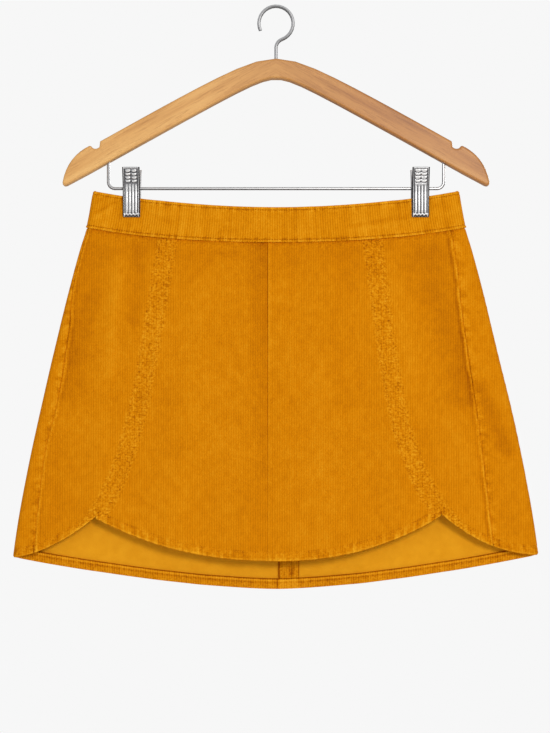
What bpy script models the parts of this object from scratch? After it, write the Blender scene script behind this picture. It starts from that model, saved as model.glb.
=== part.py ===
"""A-line corduroy skirt held by two clips on a wooden hanger.

Metres, +Z up, +X to the viewer's right, the front of the skirt faces -Y.
The origin is the inside top of the hook's crook, where a rail carries the hanger.
"Drop" is the distance below that point, so z = -drop. Left and right are as seen from the front.
"""
import math
from collections import namedtuple

import bmesh
import bpy
from mathutils import Matrix, Vector

Ring = namedtuple("Ring", "drop half_width fold_radius front_belly back_belly")
SeamPoint = namedtuple("SeamPoint", "drop inset")
CurvedSeam = namedtuple("CurvedSeam", "top_x notch_x notch_drop straight_share")
Fold = namedtuple("Fold", "waist_s hem_s spread height start_drop")
JawSection = namedtuple("JawSection", "drop face_y flange")

GAP = 0.0003                # between pieces that are sewn or rest together

# Cloth walls
PANEL_WALL = 0.0016
BAND_WALL = 0.0030          # two layers of corduroy
BAND_PROUD = 0.0004         # the band stands this far in front of the panels
HEM_WALL = 0.0015
HEM_DEPTH = 0.0110
ALLOWANCE_WALL = 0.0010
ALLOWANCE_WIDTH = 0.0220
TAPE_WALL = 0.0010
TAPE_WIDTH = 0.0120

# Flattened rings of the skirt's outer surface, one row for each height
RINGS = tuple(Ring(*row) for row in (
    (0.188, 0.1895, 0.0048, 0.0034, 0.0038),
    (0.229, 0.1968, 0.0050, 0.0036, 0.0038),
    (0.250, 0.2035, 0.0052, 0.0040, 0.0042),
    (0.291, 0.2142, 0.0055, 0.0048, 0.0050),
    (0.358, 0.2309, 0.0060, 0.0058, 0.0058),
    (0.424, 0.2465, 0.0064, 0.0066, 0.0062),
    (0.491, 0.2605, 0.0068, 0.0070, 0.0062),
    (0.557, 0.2714, 0.0070, 0.0070, 0.0060),
    (0.610, 0.2775, 0.0072, 0.0070, 0.0058),
))

# Waistband edges: the drop at the middle, and how far the edge climbs to the side folds
WAIST_TOP_DROP = 0.2079
WAIST_TOP_CLIMB = 0.0176
WAIST_TOP_POWER = 1.9
WAIST_SEAM_DROP = 0.2444
WAIST_SEAM_CLIMB = 0.0160
WAIST_SEAM_POWER = 2.2

# Front seams: where each curved seam starts at the waist and ends at its hem notch
CURVED_LEFT = CurvedSeam(-0.1138, -0.1877, 0.5294, 0.62)
CURVED_RIGHT = CurvedSeam(0.0988, 0.1721, 0.5266, 0.50)
CURVE_POWER = 5
CENTRE_FRONT_X = -0.0083
CENTRE_BACK_X = 0.0020

# Side seams lie on the front, this far along the cloth from the side fold
SIDE_LEFT = tuple(SeamPoint(*row) for row in (
    (0.229, 0.0046), (0.293, 0.0069), (0.330, 0.0130), (0.408, 0.0200),
    (0.460, 0.0190), (0.514, 0.0225), (0.571, 0.0258)))
SIDE_RIGHT = tuple(SeamPoint(*row) for row in (
    (0.232, 0.0195), (0.271, 0.0238), (0.306, 0.0295), (0.347, 0.0340),
    (0.434, 0.0420), (0.487, 0.0465), (0.520, 0.0490), (0.568, 0.0508)))

# Hems
FRONT_HEM_DROP = 0.5738     # lowest point of the front
BACK_HEM_DROP = 0.6058      # lowest point of the back
CORNER_DROP_LEFT = 0.5710   # at the side folds
CORNER_DROP_RIGHT = 0.5683
CENTRE_HEM_POWER = 2.15
SIDE_HEM_POWER_LEFT = 1.78
SIDE_HEM_POWER_RIGHT = 2.20
BACK_HEM_POWER = 1.55

# Where the clips squeeze the cloth
CLIP_X = 0.1498
CLAMP_HALF = 0.0030         # outer surface to the middle plane at the clips
CLAMP_FLAT = 0.0125
CLAMP_FADE = 0.0360
CLAMP_FULL_DROP = 0.222
CLAMP_END_DROP = 0.268

# Soft vertical folds: girth position at waist and hem, half spread, height (+ outwards), start drop
FOLDS = tuple(Fold(*row) for row in (
    (-0.075, -0.060, 0.060, -0.0016, 0.240),
    (0.14, 0.19, 0.070, 0.0009, 0.290),
    (-0.36, -0.40, 0.060, 0.0010, 0.270),
    (0.38, 0.40, 0.045, -0.0008, 0.240),
    (-0.79, -0.68, 0.045, 0.0011, 0.240),
    (-0.90, -0.84, 0.035, -0.0008, 0.250),
    (0.64, 0.78, 0.050, 0.0013, 0.240),
    (0.79, 0.88, 0.040, -0.0010, 0.240),
    (1.45, 1.40, 0.070, 0.0016, 0.280),
    (1.66, 1.68, 0.055, -0.0012, 0.340),
    (-1.42, -1.36, 0.065, 0.0014, 0.300),
    (-1.70, -1.72, 0.060, -0.0014, 0.270),
))
FOLD_RISE = 0.120           # length over which a fold grows to its full height
BODY_LENGTH = 0.330         # from the waist seam to the hem

# Mesh rows and columns
PANEL_ROWS = 13             # the last row but one is the inner edge of the turned-up hem
CENTRE_COLUMNS = 10
SIDE_SHARES = (0.0, 0.03, 0.08, 0.22, 0.40, 0.60, 0.80, 1.0)
BACK_COLUMNS = 10
BAND_ROWS = 4
ZIP_ROWS = 8

# Hanger
WOOD_DEPTH = 0.0120
WOOD_EDGE_ROUND = 0.0030
WOOD_TOP_DROP, WOOD_TOP_SLOPE, WOOD_TOP_ROUND = 0.0534, 0.570, 0.035
WOOD_LOW_DROP, WOOD_LOW_SLOPE, WOOD_LOW_ROUND = 0.0740, 0.560, 0.019
NOTCH_X, NOTCH_HALF, NOTCH_DEEP = 0.1868, 0.0044, 0.0043
NOTCH_FLARE = 0.0008        # the notch narrows this much on each side towards its floor
NOSE_START = (0.1922, 0.1432)
NOSE_BULGE = (0.2165, 0.1545)
NOSE_TIP = (0.2214, 0.1815)
TIP_BULGE = (0.2216, 0.1868)
TIP_END = (0.2170, 0.1848)
WOOD_LOW_STEPS = (0.195, 0.165, 0.130, 0.095, 0.065, 0.042, 0.026, 0.014, 0.005)

HOOK_WIRE = 0.0018          # wire radius
CROOK_RADIUS = 0.0160       # inside the crook
CROOK_OPEN_ANGLE = 205
CROOK_NECK_ANGLE = -70
HOOK_DEPTH_IN_WOOD = 0.0150

BAR_WIRE = 0.0016
BAR_DROP = 0.1879
BAR_HALF = 0.1743
BAR_BEND = 0.0068
BAR_DEPTH_IN_WOOD = 0.0090
BORE_CLEARANCE = 0.0004

# Clips: the front jaw's outer face seen from the side, with the depth of its side flanges
JAW_WIDTH = 0.0180
JAW_SHEET = 0.0010
JAW_CORNER = 0.0008
JAW_PROFILE = tuple(JawSection(*row) for row in (
    (0.1670, 0.0128, 0.0016),
    (0.1705, 0.0118, 0.0022),
    (0.1790, 0.0090, 0.0022),
    (0.1860, 0.0071, 0.0022),
    (0.1920, 0.0065, 0.0022),
    (0.2030, 0.0067, 0.0022),
    (0.2110, 0.0062, 0.0019),
    (0.2155, 0.0055, 0.0014),
    (0.2178, 0.0048, 0.0010),
))
EAR_SHEET = 0.0009
EAR_RADIUS = 0.0036
EAR_HALF_ROOT = 0.0045
EAR_ROOT_Y = 0.0061         # inside the jaw's sheet
EAR_X_FRONT = 0.0079
EAR_X_BACK = 0.0066
SPRING_HALF = 0.0061
SPRING_OUTER = 0.0034
SPRING_INNER = 0.0021

# Zip
ZIP_GAP = 0.0016            # opening between the waistband's ends
ZIP_END_DROP = 0.385
TAPE_INSET = 0.0032         # from the outer surface to the tape
TAPE_SPLIT = 0.0011         # half the gap between the tapes
CHAIN_INSET = 0.0045
CHAIN_WALL = 0.0014
CHAIN_HALF = 0.0022
CHAIN_TOP_DROP = 0.2245
CHAIN_END_MARGIN = 0.0030
BAND_BACK_Y = 0.0090        # outer surface of the band at the centre back
SLIDER_DROP = 0.2175        # middle of the slider
SLIDER_BODY = (0.0040, 0.0048)      # half width and half height of the body inside the band
SLIDER_BODY_Y = (-0.0069, -0.0052)  # its depth, from the band's outer surface
SLIDER_NECK = (0.0005, 0.0030)
SLIDER_NECK_Y = (-0.0058, 0.0010)
SLIDER_PLATE = (0.0024, 0.0045)
SLIDER_PLATE_Y = (0.0004, 0.0011)
ARCH_HALF_WIDTH = 0.0007
ARCH_STRAP = 0.0010
ARCH_BELOW, ARCH_ABOVE = 0.0020, 0.0030     # its ends, from the pull's axis
ARCH_FOOT_Y = 0.0008        # from the band's outer surface, inside the plate
ARCH_RISE = 0.0020          # from the pull's axis to the crown
PULL_AXIS_Y = 0.0113
PULL_AXIS_DROP = 0.2193
PULL_LENGTH = 0.0220
PULL_HALF_THICK = 0.00055
PULL_EYE = 0.0050           # from the axis to the solid part of the tab
PULL_ARM = (0.0018, 0.0030)
PULL_CROSSBAR = 0.0006
PULL_HALF_WIDTHS = (0.0030, 0.0034, 0.0036, 0.0034, 0.0026, 0.0012)


def clear_scene():
    """Remove every object the file opens with."""
    for obj in list(bpy.data.objects):
        bpy.data.objects.remove(obj, do_unlink=True)


def lerp(a, b, t):
    return a + (b - a) * t


def smooth(t):
    """0 to 1 with level ends."""
    t = min(max(t, 0.0), 1.0)
    return t * t * (3.0 - 2.0 * t)


def look_up(rows, drop):
    """A row of a table at any drop, on a smooth curve through the rows that it holds."""
    last = len(rows) - 2
    i = 0
    while i < last and drop > rows[i + 1][0]:
        i += 1
    before, low, high, after = rows[max(i - 1, 0)], rows[i], rows[i + 1], rows[min(i + 2, last + 1)]
    span = high[0] - low[0]
    t = (drop - low[0]) / span
    values = [drop]
    for c in range(1, len(low)):
        slope_low = (high[c] - before[c]) / (high[0] - before[0]) * span
        slope_high = (after[c] - low[c]) / (after[0] - low[0]) * span
        t2, t3 = t * t, t * t * t
        values.append(low[c] * (2 * t3 - 3 * t2 + 1) + slope_low * (t3 - 2 * t2 + t)
                      + high[c] * (3 * t2 - 2 * t3) + slope_high * (t3 - t2))
    return type(low)(*values)


# ---------------------------------------------------------------- the cloth's surface
# s runs round the girth: -2 centre back, -1 left fold, 0 centre front, 1 right fold, 2 centre back.

def half_front(drop):
    """Length along the cloth from the middle of the front to a side fold."""
    ring = look_up(RINGS, drop)
    return ring.half_width - ring.fold_radius + ring.fold_radius * math.pi / 2


def fold_height(s, drop):
    """How far the soft folds push the surface outwards."""
    total = 0.0
    for fold in FOLDS:
        grown = smooth((drop - fold.start_drop) / FOLD_RISE)
        middle = lerp(fold.waist_s, fold.hem_s, smooth((drop - WAIST_SEAM_DROP) / BODY_LENGTH))
        total += fold.height * grown * math.exp(-((s - middle) / fold.spread) ** 2)
    return total


def squeeze(x, drop):
    """1 where a clip holds the cloth flat, 0 away from the clips."""
    across = 1.0 - smooth((abs(abs(x) - CLIP_X) - CLAMP_FLAT) / (CLAMP_FADE - CLAMP_FLAT))
    down = 1.0 - smooth((drop - CLAMP_FULL_DROP) / (CLAMP_END_DROP - CLAMP_FULL_DROP))
    return across * down


def cloth_point(s, drop, inset=0.0):
    """A point of the cloth, moved in from the outer surface by inset."""
    ring = look_up(RINGS, drop)
    radius = ring.fold_radius
    flat = ring.half_width - radius
    in_front = abs(s) <= 1.0
    t = s if in_front else (2.0 - abs(s)) * math.copysign(1.0, s)
    along = t * (flat + radius * math.pi / 2)
    turn = max(abs(along) - flat, 0.0) / radius
    facing = math.cos(min(turn, math.pi / 2))
    x = math.copysign(min(abs(along), flat) + (radius - inset) * math.sin(turn), along)
    belly = ring.front_belly if in_front else ring.back_belly
    out = (radius - inset) * facing + fold_height(s, drop) * facing
    out += belly * (1.0 - min(abs(along) / flat, 1.0) ** 2) ** 1.5
    out = lerp(out, CLAMP_HALF - inset, squeeze(x, drop) * facing)
    return Vector((x, -out if in_front else out, -drop))


def reach(s):
    """0 at the middle of the front or the back, 1 at the side folds."""
    return abs(s) if abs(s) <= 1.0 else abs(2.0 - abs(s))


def waist_top(s):
    return WAIST_TOP_DROP - WAIST_TOP_CLIMB * reach(s) ** WAIST_TOP_POWER


def waist_seam(s):
    return WAIST_SEAM_DROP - WAIST_SEAM_CLIMB * reach(s) ** WAIST_SEAM_POWER


def on_front(x, drop):
    """Girth position of a point x across the front."""
    return x / half_front(drop)


def curved_seam(seam, drop):
    v = (drop - WAIST_SEAM_DROP) / (seam.notch_drop - WAIST_SEAM_DROP)
    bend = seam.straight_share * v + (1.0 - seam.straight_share) * v ** CURVE_POWER
    return on_front(lerp(seam.top_x, seam.notch_x, bend), drop)


def curved_left(drop):
    return curved_seam(CURVED_LEFT, drop)


def curved_right(drop):
    return curved_seam(CURVED_RIGHT, drop)


def centre_front(drop):
    return on_front(CENTRE_FRONT_X, drop)


def side_left(drop):
    return -1.0 + look_up(SIDE_LEFT, drop).inset / half_front(drop)


def side_right(drop):
    return 1.0 - look_up(SIDE_RIGHT, drop).inset / half_front(drop)


def back_from_left(drop):
    return -2.0 - CENTRE_BACK_X / half_front(drop)


def back_from_right(drop):
    return 2.0 - CENTRE_BACK_X / half_front(drop)


NOTCH_LEFT_S = on_front(CURVED_LEFT.notch_x, CURVED_LEFT.notch_drop)
NOTCH_RIGHT_S = on_front(CURVED_RIGHT.notch_x, CURVED_RIGHT.notch_drop)


def hem(s):
    """Drop of the hem: a shallow bowl between the notches, a curve to each fold, and the back's bowl."""
    corner = CORNER_DROP_LEFT if s < 0 else CORNER_DROP_RIGHT
    notch_s = NOTCH_LEFT_S if s < 0 else NOTCH_RIGHT_S
    notch_drop = CURVED_LEFT.notch_drop if s < 0 else CURVED_RIGHT.notch_drop
    if abs(s) > 1.0:
        return lerp(BACK_HEM_DROP, corner, reach(s) ** BACK_HEM_POWER)
    if abs(s) > abs(notch_s):
        power = SIDE_HEM_POWER_LEFT if s < 0 else SIDE_HEM_POWER_RIGHT
        t = (abs(s) - abs(notch_s)) / (1.0 - abs(notch_s))
        return lerp(corner, notch_drop, (1.0 - t) ** power)
    return lerp(FRONT_HEM_DROP, notch_drop, abs(s / notch_s) ** CENTRE_HEM_POWER)


def meet(boundary, curve, drop):
    """The drop where a seam meets the waist seam or the hem."""
    for _ in range(12):
        drop = curve(boundary(drop))
    return drop


def seam_rows(boundary, notch_drop=None):
    """The drops of a seam's rows, from the waist seam to the hem."""
    top = meet(boundary, waist_seam, WAIST_SEAM_DROP)
    bottom = notch_drop or meet(boundary, hem, CORNER_DROP_LEFT)
    return [row_drop(top, bottom, row) for row in range(PANEL_ROWS + 1)]


def row_drop(top, bottom, row):
    if row == PANEL_ROWS:
        return bottom
    return lerp(top, bottom - HEM_DEPTH, row / (PANEL_ROWS - 1))


# ---------------------------------------------------------------- meshes

def make_object(name, bm, material, sharp_degrees=40):
    bmesh.ops.remove_doubles(bm, verts=bm.verts, dist=0.000001)
    bmesh.ops.recalc_face_normals(bm, faces=bm.faces)
    mesh = bpy.data.meshes.new(name)
    bm.to_mesh(mesh)
    bm.free()
    mesh.shade_smooth()
    mesh.set_sharp_from_angle(angle=math.radians(sharp_degrees))
    mesh.materials.append(material)
    obj = bpy.data.objects.new(name, mesh)
    bpy.context.scene.collection.objects.link(obj)
    return obj


def wall(name, outer, inner, material):
    """Close two grids of points, row by row, into one wall."""
    bm = bmesh.new()
    sheets = [[[bm.verts.new(p) for p in row] for row in grid] for grid in (outer, inner)]
    rows, columns = len(outer), len(outer[0])
    for sheet in sheets:
        for j in range(rows - 1):
            for k in range(columns - 1):
                bm.faces.new((sheet[j][k], sheet[j][k + 1], sheet[j + 1][k + 1], sheet[j + 1][k]))
    rim = [(0, k) for k in range(columns)] + [(j, columns - 1) for j in range(1, rows)]
    rim += [(rows - 1, k) for k in range(columns - 2, -1, -1)] + [(j, 0) for j in range(rows - 2, 0, -1)]
    for (j, k), (j2, k2) in zip(rim, rim[1:] + rim[:1]):
        bm.faces.new((sheets[0][j][k], sheets[0][j2][k2], sheets[1][j2][k2], sheets[1][j][k]))
    return make_object(name, bm, material)


def loft(bm, rings):
    """Join closed rings of points with faces and cap both ends."""
    loops = [[bm.verts.new(p) for p in ring] for ring in rings]
    for a, b in zip(loops, loops[1:]):
        for k in range(len(a)):
            k2 = (k + 1) % len(a)
            bm.faces.new((a[k], a[k2], b[k2], b[k]))
    bm.faces.new(loops[0])
    bm.faces.new(loops[-1])


def box_mesh(bm, low, high):
    middle = (Vector(low) + Vector(high)) / 2
    size = Vector(high) - Vector(low)
    bmesh.ops.create_cube(bm, size=1.0, matrix=Matrix.Translation(middle) @ Matrix.Diagonal(size).to_4x4())


def cylinder_mesh(bm, middle, axis, radius, length, sides=16):
    turn = Vector((0, 0, 1)).rotation_difference(Vector(axis)).to_matrix().to_4x4()
    bmesh.ops.create_cone(bm, cap_ends=True, segments=sides, radius1=radius, radius2=radius,
                          depth=length, matrix=Matrix.Translation(middle) @ turn)


def boolean(obj, build_tool, operation):
    """Join a tool shape to an object or cut it away; the tool is a hidden guide object."""
    bm = bmesh.new()
    build_tool(bm)
    bmesh.ops.recalc_face_normals(bm, faces=bm.faces)
    mesh = bpy.data.meshes.new(obj.name + "_tool")
    bm.to_mesh(mesh)
    bm.free()
    tool = bpy.data.objects.new(mesh.name, mesh)
    tool.hide_render = True
    tool.display_type = "WIRE"
    bpy.context.scene.collection.objects.link(tool)
    modifier = obj.modifiers.new(operation.title(), "BOOLEAN")
    modifier.operation = operation
    modifier.solver = "EXACT"
    modifier.object = tool
    return tool


def wire(name, points, radius, material):
    """A round wire through the points, with closed ends."""
    curve = bpy.data.curves.new(name, "CURVE")
    curve.dimensions = "3D"
    curve.bevel_depth = radius
    curve.bevel_resolution = 3
    curve.use_fill_caps = True
    spline = curve.splines.new("POLY")
    spline.points.add(len(points) - 1)
    for point, place in zip(spline.points, points):
        point.co = (*place, 1.0)
    obj = bpy.data.objects.new(name, curve)
    curve.materials.append(material)
    bpy.context.scene.collection.objects.link(obj)
    return obj


def finish(name, colour, roughness, metallic=0.0):
    material = bpy.data.materials.new(name)
    material.use_nodes = True
    shader = material.node_tree.nodes["Principled BSDF"]
    shader.inputs["Base Color"].default_value = (*colour, 1.0)
    shader.inputs["Roughness"].default_value = roughness
    shader.inputs["Metallic"].default_value = metallic
    material.diffuse_color = (*colour, 1.0)
    return material


# ---------------------------------------------------------------- skirt

def even(start, end, count):
    """Girth positions from start to end."""
    return [lerp(start, end, k / count) for k in range(count + 1)]


def shrink(columns, drop):
    """Pull both edges of a row in by half the seam gap."""
    half_gap = GAP / 2 / half_front(drop)
    return [columns[0] + half_gap] + columns[1:-1] + [columns[-1] - half_gap]


def centre_columns(left, right, drop):
    return even(left, right, CENTRE_COLUMNS)


def left_side_columns(left, right, drop):
    """Columns crowd towards the side seam, where the cloth starts to turn round the fold."""
    return [lerp(left, right, share) for share in SIDE_SHARES]


def right_side_columns(left, right, drop):
    return [lerp(right, left, share) for share in reversed(SIDE_SHARES)]


def back_columns(side, centre, drop):
    """Columns from a side seam on the front, round the fold, to the centre back."""
    full = half_front(drop)
    quarter = look_up(RINGS, drop).fold_radius * math.pi / 2 / full
    fold = math.copysign(1.0, side)
    front_part = abs(fold - side)
    columns = [side]
    for quarters in (3, 2, 1):
        columns.append(fold - fold * min(quarter * quarters / 3, front_part * quarters / 4))
    columns += [fold + fold * quarter * thirds / 3 for thirds in range(4)]
    last = centre - fold * ALLOWANCE_WIDTH / full
    columns += even(columns[-1], last, BACK_COLUMNS)[1:]
    columns += even(last, centre, 2)[1:]
    return columns


def left_back_columns(left, right, drop):
    return back_columns(right, left, drop)[::-1]


def right_back_columns(left, right, drop):
    return back_columns(left, right, drop)


def panel_grid(row_columns, inset, rows):
    """Points of a panel: row_columns holds the girth positions of each row."""
    tops = [waist_seam(s) + GAP for s in row_columns[0]]
    bottoms = [hem(s) for s in row_columns[-1]]
    grid = []
    for row in rows:
        grid.append([cloth_point(s, row_drop(top, bottom, row), inset)
                     for s, top, bottom in zip(row_columns[row], tops, bottoms)])
    return grid


def build_panel(name, row_columns, cloth, inside):
    """A panel and the hem turned up inside it, on the same columns and rows."""
    rows = range(PANEL_ROWS + 1)
    outer = panel_grid(row_columns, 0.0, rows)
    inner = panel_grid(row_columns, PANEL_WALL, rows)
    wall(name, outer, inner, cloth)
    hem_rows = (PANEL_ROWS - 1, PANEL_ROWS)
    near = PANEL_WALL + GAP
    wall(name + "_hem", panel_grid(row_columns, near, hem_rows),
         panel_grid(row_columns, near + HEM_WALL, hem_rows), inside)


def build_panels(cloth, hem_cloth):
    """Every panel from one seam to the next, going round from the centre back."""
    back_start = (back_from_left, seam_rows(back_from_left))
    left_side = (side_left, seam_rows(side_left))
    left_curve = (curved_left, seam_rows(curved_left, CURVED_LEFT.notch_drop))
    front_middle = (centre_front, seam_rows(centre_front))
    right_curve = (curved_right, seam_rows(curved_right, CURVED_RIGHT.notch_drop))
    right_side = (side_right, seam_rows(side_right))
    back_end = (back_from_right, seam_rows(back_from_right))
    panels = (
        ("back_left", back_start, left_side, left_back_columns),
        ("front_side_left", left_side, left_curve, left_side_columns),
        ("front_centre_left", left_curve, front_middle, centre_columns),
        ("front_centre_right", front_middle, right_curve, centre_columns),
        ("front_side_right", right_curve, right_side, right_side_columns),
        ("back_right", right_side, back_end, right_back_columns),
    )
    columns = {}
    for name, (left_seam, left_drops), (right_seam, right_drops), columns_between in panels:
        rows = []
        for left_drop, right_drop in zip(left_drops, right_drops):
            drop = (left_drop + right_drop) / 2
            row = columns_between(left_seam(left_drop), right_seam(right_drop), drop)
            rows.append(shrink(row, drop))
        build_panel(name, rows, cloth, hem_cloth)
        columns[name] = rows
    return columns


def build_allowance(name, row_columns, last_row, lift, cloth):
    """A pressed seam allowance on the inside of a back panel, from the waist seam down."""
    near = PANEL_WALL + GAP
    rows = range(last_row + 1)
    outer = panel_grid(row_columns, near, rows)
    inner = panel_grid(row_columns, near + ALLOWANCE_WALL, rows)
    for sheet in (outer, inner):
        sheet[-1] = [point + Vector((0.0, 0.0, lift)) for point in sheet[-1]]
    wall(name, outer, inner, cloth)


def build_allowances(panel_columns, cloth):
    """The right allowance runs down to the turned-up hem, the left one to the zip's end."""
    right = [row[-3:] for row in panel_columns["back_right"]]
    left = [row[:3] for row in panel_columns["back_left"]]
    build_allowance("seam_allowance_right", right, PANEL_ROWS - 1, GAP, cloth)
    build_allowance("seam_allowance_left", left, PANEL_ROWS // 2, 0.0, cloth)


def band_columns():
    """Columns all round the waistband, close together at the folds and beside the clips."""
    drop = (WAIST_TOP_DROP + WAIST_SEAM_DROP) / 2
    full = half_front(drop)
    quarter = look_up(RINGS, drop).fold_radius * math.pi / 2 / full
    clip_in, clip_out = [(CLIP_X + side * (JAW_WIDTH / 2 + 5 * GAP)) / full for side in (-1, 1)]
    spans = ((clip_in, 12), (clip_out, 2), (1.0 - quarter, 3), (1.0, 3), (1.0 + quarter, 3),
             (2.0 - clip_out, 3), (2.0 - clip_in, 2), (2.0, 12))
    half = [0.0]
    for end, count in spans:
        half += even(half[-1], end, count)[1:]
    columns = [-s for s in reversed(half[1:])] + half
    columns[0] = back_from_left(drop) + ZIP_GAP / 2 / full
    columns[-1] = back_from_right(drop) - ZIP_GAP / 2 / full
    return columns


def build_waistband(cloth):
    columns = band_columns()
    grids = []
    for inset in (-BAND_PROUD, BAND_WALL - BAND_PROUD):
        grids.append([[cloth_point(s, lerp(waist_top(s), waist_seam(s), row / BAND_ROWS), inset)
                       for s in columns] for row in range(BAND_ROWS + 1)])
    wall("waistband", grids[0], grids[1], cloth)


def strip(name, s_from, s_to, drops, inset, thickness, material):
    """A narrow upright strip on the inside of the back; s_from and s_to give its edges at a drop."""
    grids = []
    for depth in (inset, inset + thickness):
        grids.append([[cloth_point(lerp(s_from(drop), s_to(drop), k / 2), drop, depth) for k in range(3)]
                      for drop in drops])
    wall(name, grids[0], grids[1], material)


def back_at(x):
    """Girth position of a point x across the back, right of the middle, as a function of the drop."""
    return lambda drop: 2.0 - x / half_front(drop)


def back_left_of(x):
    """The same for a point left of the middle."""
    return lambda drop: -2.0 - x / half_front(drop)


def build_zip(tape_cloth, coil, metal):
    drops = even(WAIST_TOP_DROP + ZIP_GAP, ZIP_END_DROP, ZIP_ROWS)
    near, far = TAPE_SPLIT, TAPE_SPLIT + TAPE_WIDTH
    strip("zip_tape_right", back_at(CENTRE_BACK_X + near), back_at(CENTRE_BACK_X + far), drops,
          TAPE_INSET, TAPE_WALL, tape_cloth)
    strip("zip_tape_left", back_left_of(CENTRE_BACK_X - near), back_left_of(CENTRE_BACK_X - far), drops,
          TAPE_INSET, TAPE_WALL, tape_cloth)
    strip("zip_chain", back_at(CENTRE_BACK_X + CHAIN_HALF), back_at(CENTRE_BACK_X - CHAIN_HALF),
          even(CHAIN_TOP_DROP, ZIP_END_DROP - CHAIN_END_MARGIN, ZIP_ROWS), CHAIN_INSET, CHAIN_WALL, coil)
    build_slider(metal)
    build_pull(metal)


def slider_block(size, depth):
    """A tool that builds one block of the slider: its half width and height, and its span in Y."""
    low = (CENTRE_BACK_X - size[0], BAND_BACK_Y + depth[0], -SLIDER_DROP - size[1])
    high = (CENTRE_BACK_X + size[0], BAND_BACK_Y + depth[1], -SLIDER_DROP + size[1])
    return lambda bm: box_mesh(bm, low, high)


def slider_arch(bm):
    """A small bridge over the pull's axis, as one bent strap."""
    low, high = -PULL_AXIS_DROP - ARCH_BELOW, -PULL_AXIS_DROP + ARCH_ABOVE
    foot, crown = BAND_BACK_Y + ARCH_FOOT_Y, PULL_AXIS_Y + ARCH_RISE
    strap, corner = ARCH_STRAP, ARCH_STRAP * 0.6
    outline = ((foot, low), (crown - corner, low), (crown, low + corner), (crown, high - corner),
               (crown - corner, high), (foot, high), (foot, high - strap),
               (crown - strap, high - strap), (crown - strap, low + strap), (foot, low + strap))
    sides = (CENTRE_BACK_X - ARCH_HALF_WIDTH, CENTRE_BACK_X + ARCH_HALF_WIDTH)
    loft(bm, [[Vector((x, y, z)) for y, z in outline] for x in sides])


def build_slider(metal):
    """Body inside the band, neck through the zip's gap, plate and arch on the outside."""
    bm = bmesh.new()
    slider_block(SLIDER_BODY, SLIDER_BODY_Y)(bm)
    slider = make_object("zip_slider", bm, metal)
    boolean(slider, slider_block(SLIDER_NECK, SLIDER_NECK_Y), "UNION")
    boolean(slider, slider_block(SLIDER_PLATE, SLIDER_PLATE_Y), "UNION")
    boolean(slider, slider_arch, "UNION")


def build_pull(metal):
    """Pull tab with an eye round the slider's arch; its crossbar is the hinge."""
    x, y, z = CENTRE_BACK_X, PULL_AXIS_Y, -PULL_AXIS_DROP
    bm = bmesh.new()
    rings = []
    for k, half in enumerate(PULL_HALF_WIDTHS):
        height = z - lerp(PULL_EYE, PULL_LENGTH, k / (len(PULL_HALF_WIDTHS) - 1))
        rings.append([Vector((x + a * half, y + b * PULL_HALF_THICK, height))
                      for a, b in ((-1, -1), (1, -1), (1, 1), (-1, 1))])
    loft(bm, rings)
    pull = make_object("zip_pull", bm, metal)
    arm_thick = PULL_HALF_THICK * 0.96
    for side in (-1, 1):
        near, far = sorted((x + side * PULL_ARM[0], x + side * PULL_ARM[1]))
        low, high = (near, y - arm_thick, z - PULL_EYE - arm_thick), (far, y + arm_thick, z)
        boolean(pull, lambda bm, low=low, high=high: box_mesh(bm, low, high), "UNION")
    length = 2 * (PULL_ARM[1] + GAP)
    boolean(pull, lambda bm: cylinder_mesh(bm, (x, y, z), (1, 0, 0), PULL_CROSSBAR, length, 10), "UNION")


# ---------------------------------------------------------------- hanger

def wood_top(x):
    return WOOD_TOP_DROP + WOOD_TOP_SLOPE * (math.hypot(x, WOOD_TOP_ROUND) - WOOD_TOP_ROUND)


def wood_low(x):
    return WOOD_LOW_DROP + WOOD_LOW_SLOPE * (math.hypot(x, WOOD_LOW_ROUND) - WOOD_LOW_ROUND)


def bezier(start, pull, end, count):
    """Points of a curve from start to end drawn towards pull, without its first point."""
    points = []
    for k in range(1, count + 1):
        t = k / count
        points.append(tuple((1 - t) ** 2 * a + 2 * t * (1 - t) * p + t * t * b
                            for a, p, b in zip(start, pull, end)))
    return points


def half_outline():
    """The right arm from the middle of its top edge round to the middle of its lower edge."""
    inner_edge, outer_edge = NOTCH_X - NOTCH_HALF, NOTCH_X + NOTCH_HALF
    top_x = [inner_edge * k / 9 for k in range(10)]
    outline = [(x, wood_top(x)) for x in top_x]
    floor = wood_top(NOTCH_X) + NOTCH_DEEP
    notch_in = (inner_edge + NOTCH_FLARE, floor - NOTCH_FLARE)
    notch_out = (outer_edge - NOTCH_FLARE, floor)
    outline += [notch_in]
    outline += bezier(notch_in, (NOTCH_X, floor + NOTCH_DEEP / 2), notch_out, 4)
    outline += [NOSE_START]
    outline += bezier(NOSE_START, NOSE_BULGE, NOSE_TIP, 8)
    outline += bezier(NOSE_TIP, TIP_BULGE, TIP_END, 4)
    outline += [(x, wood_low(x)) for x in WOOD_LOW_STEPS]
    return outline


def build_wood(material):
    right = half_outline()
    outline = right + [(-x, drop) for x, drop in reversed(right) if x > 0.0]
    bm = bmesh.new()
    loft(bm, [[Vector((x, y, -drop)) for x, drop in outline] for y in (-WOOD_DEPTH / 2, WOOD_DEPTH / 2)])
    wood = make_object("hanger_wood", bm, material, 30)
    bevel = wood.modifiers.new("Rounded edges", "BEVEL")
    bevel.width = WOOD_EDGE_ROUND
    bevel.segments = 3
    bevel.limit_method = "ANGLE"
    bevel.angle_limit = math.radians(60)
    bore_hole(wood, 0.0, wood_top(0.0), HOOK_DEPTH_IN_WOOD, HOOK_WIRE)
    for side in (-1, 1):
        bore_hole(wood, side * BAR_HALF, wood_low(BAR_HALF), -BAR_DEPTH_IN_WOOD, BAR_WIRE)


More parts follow.
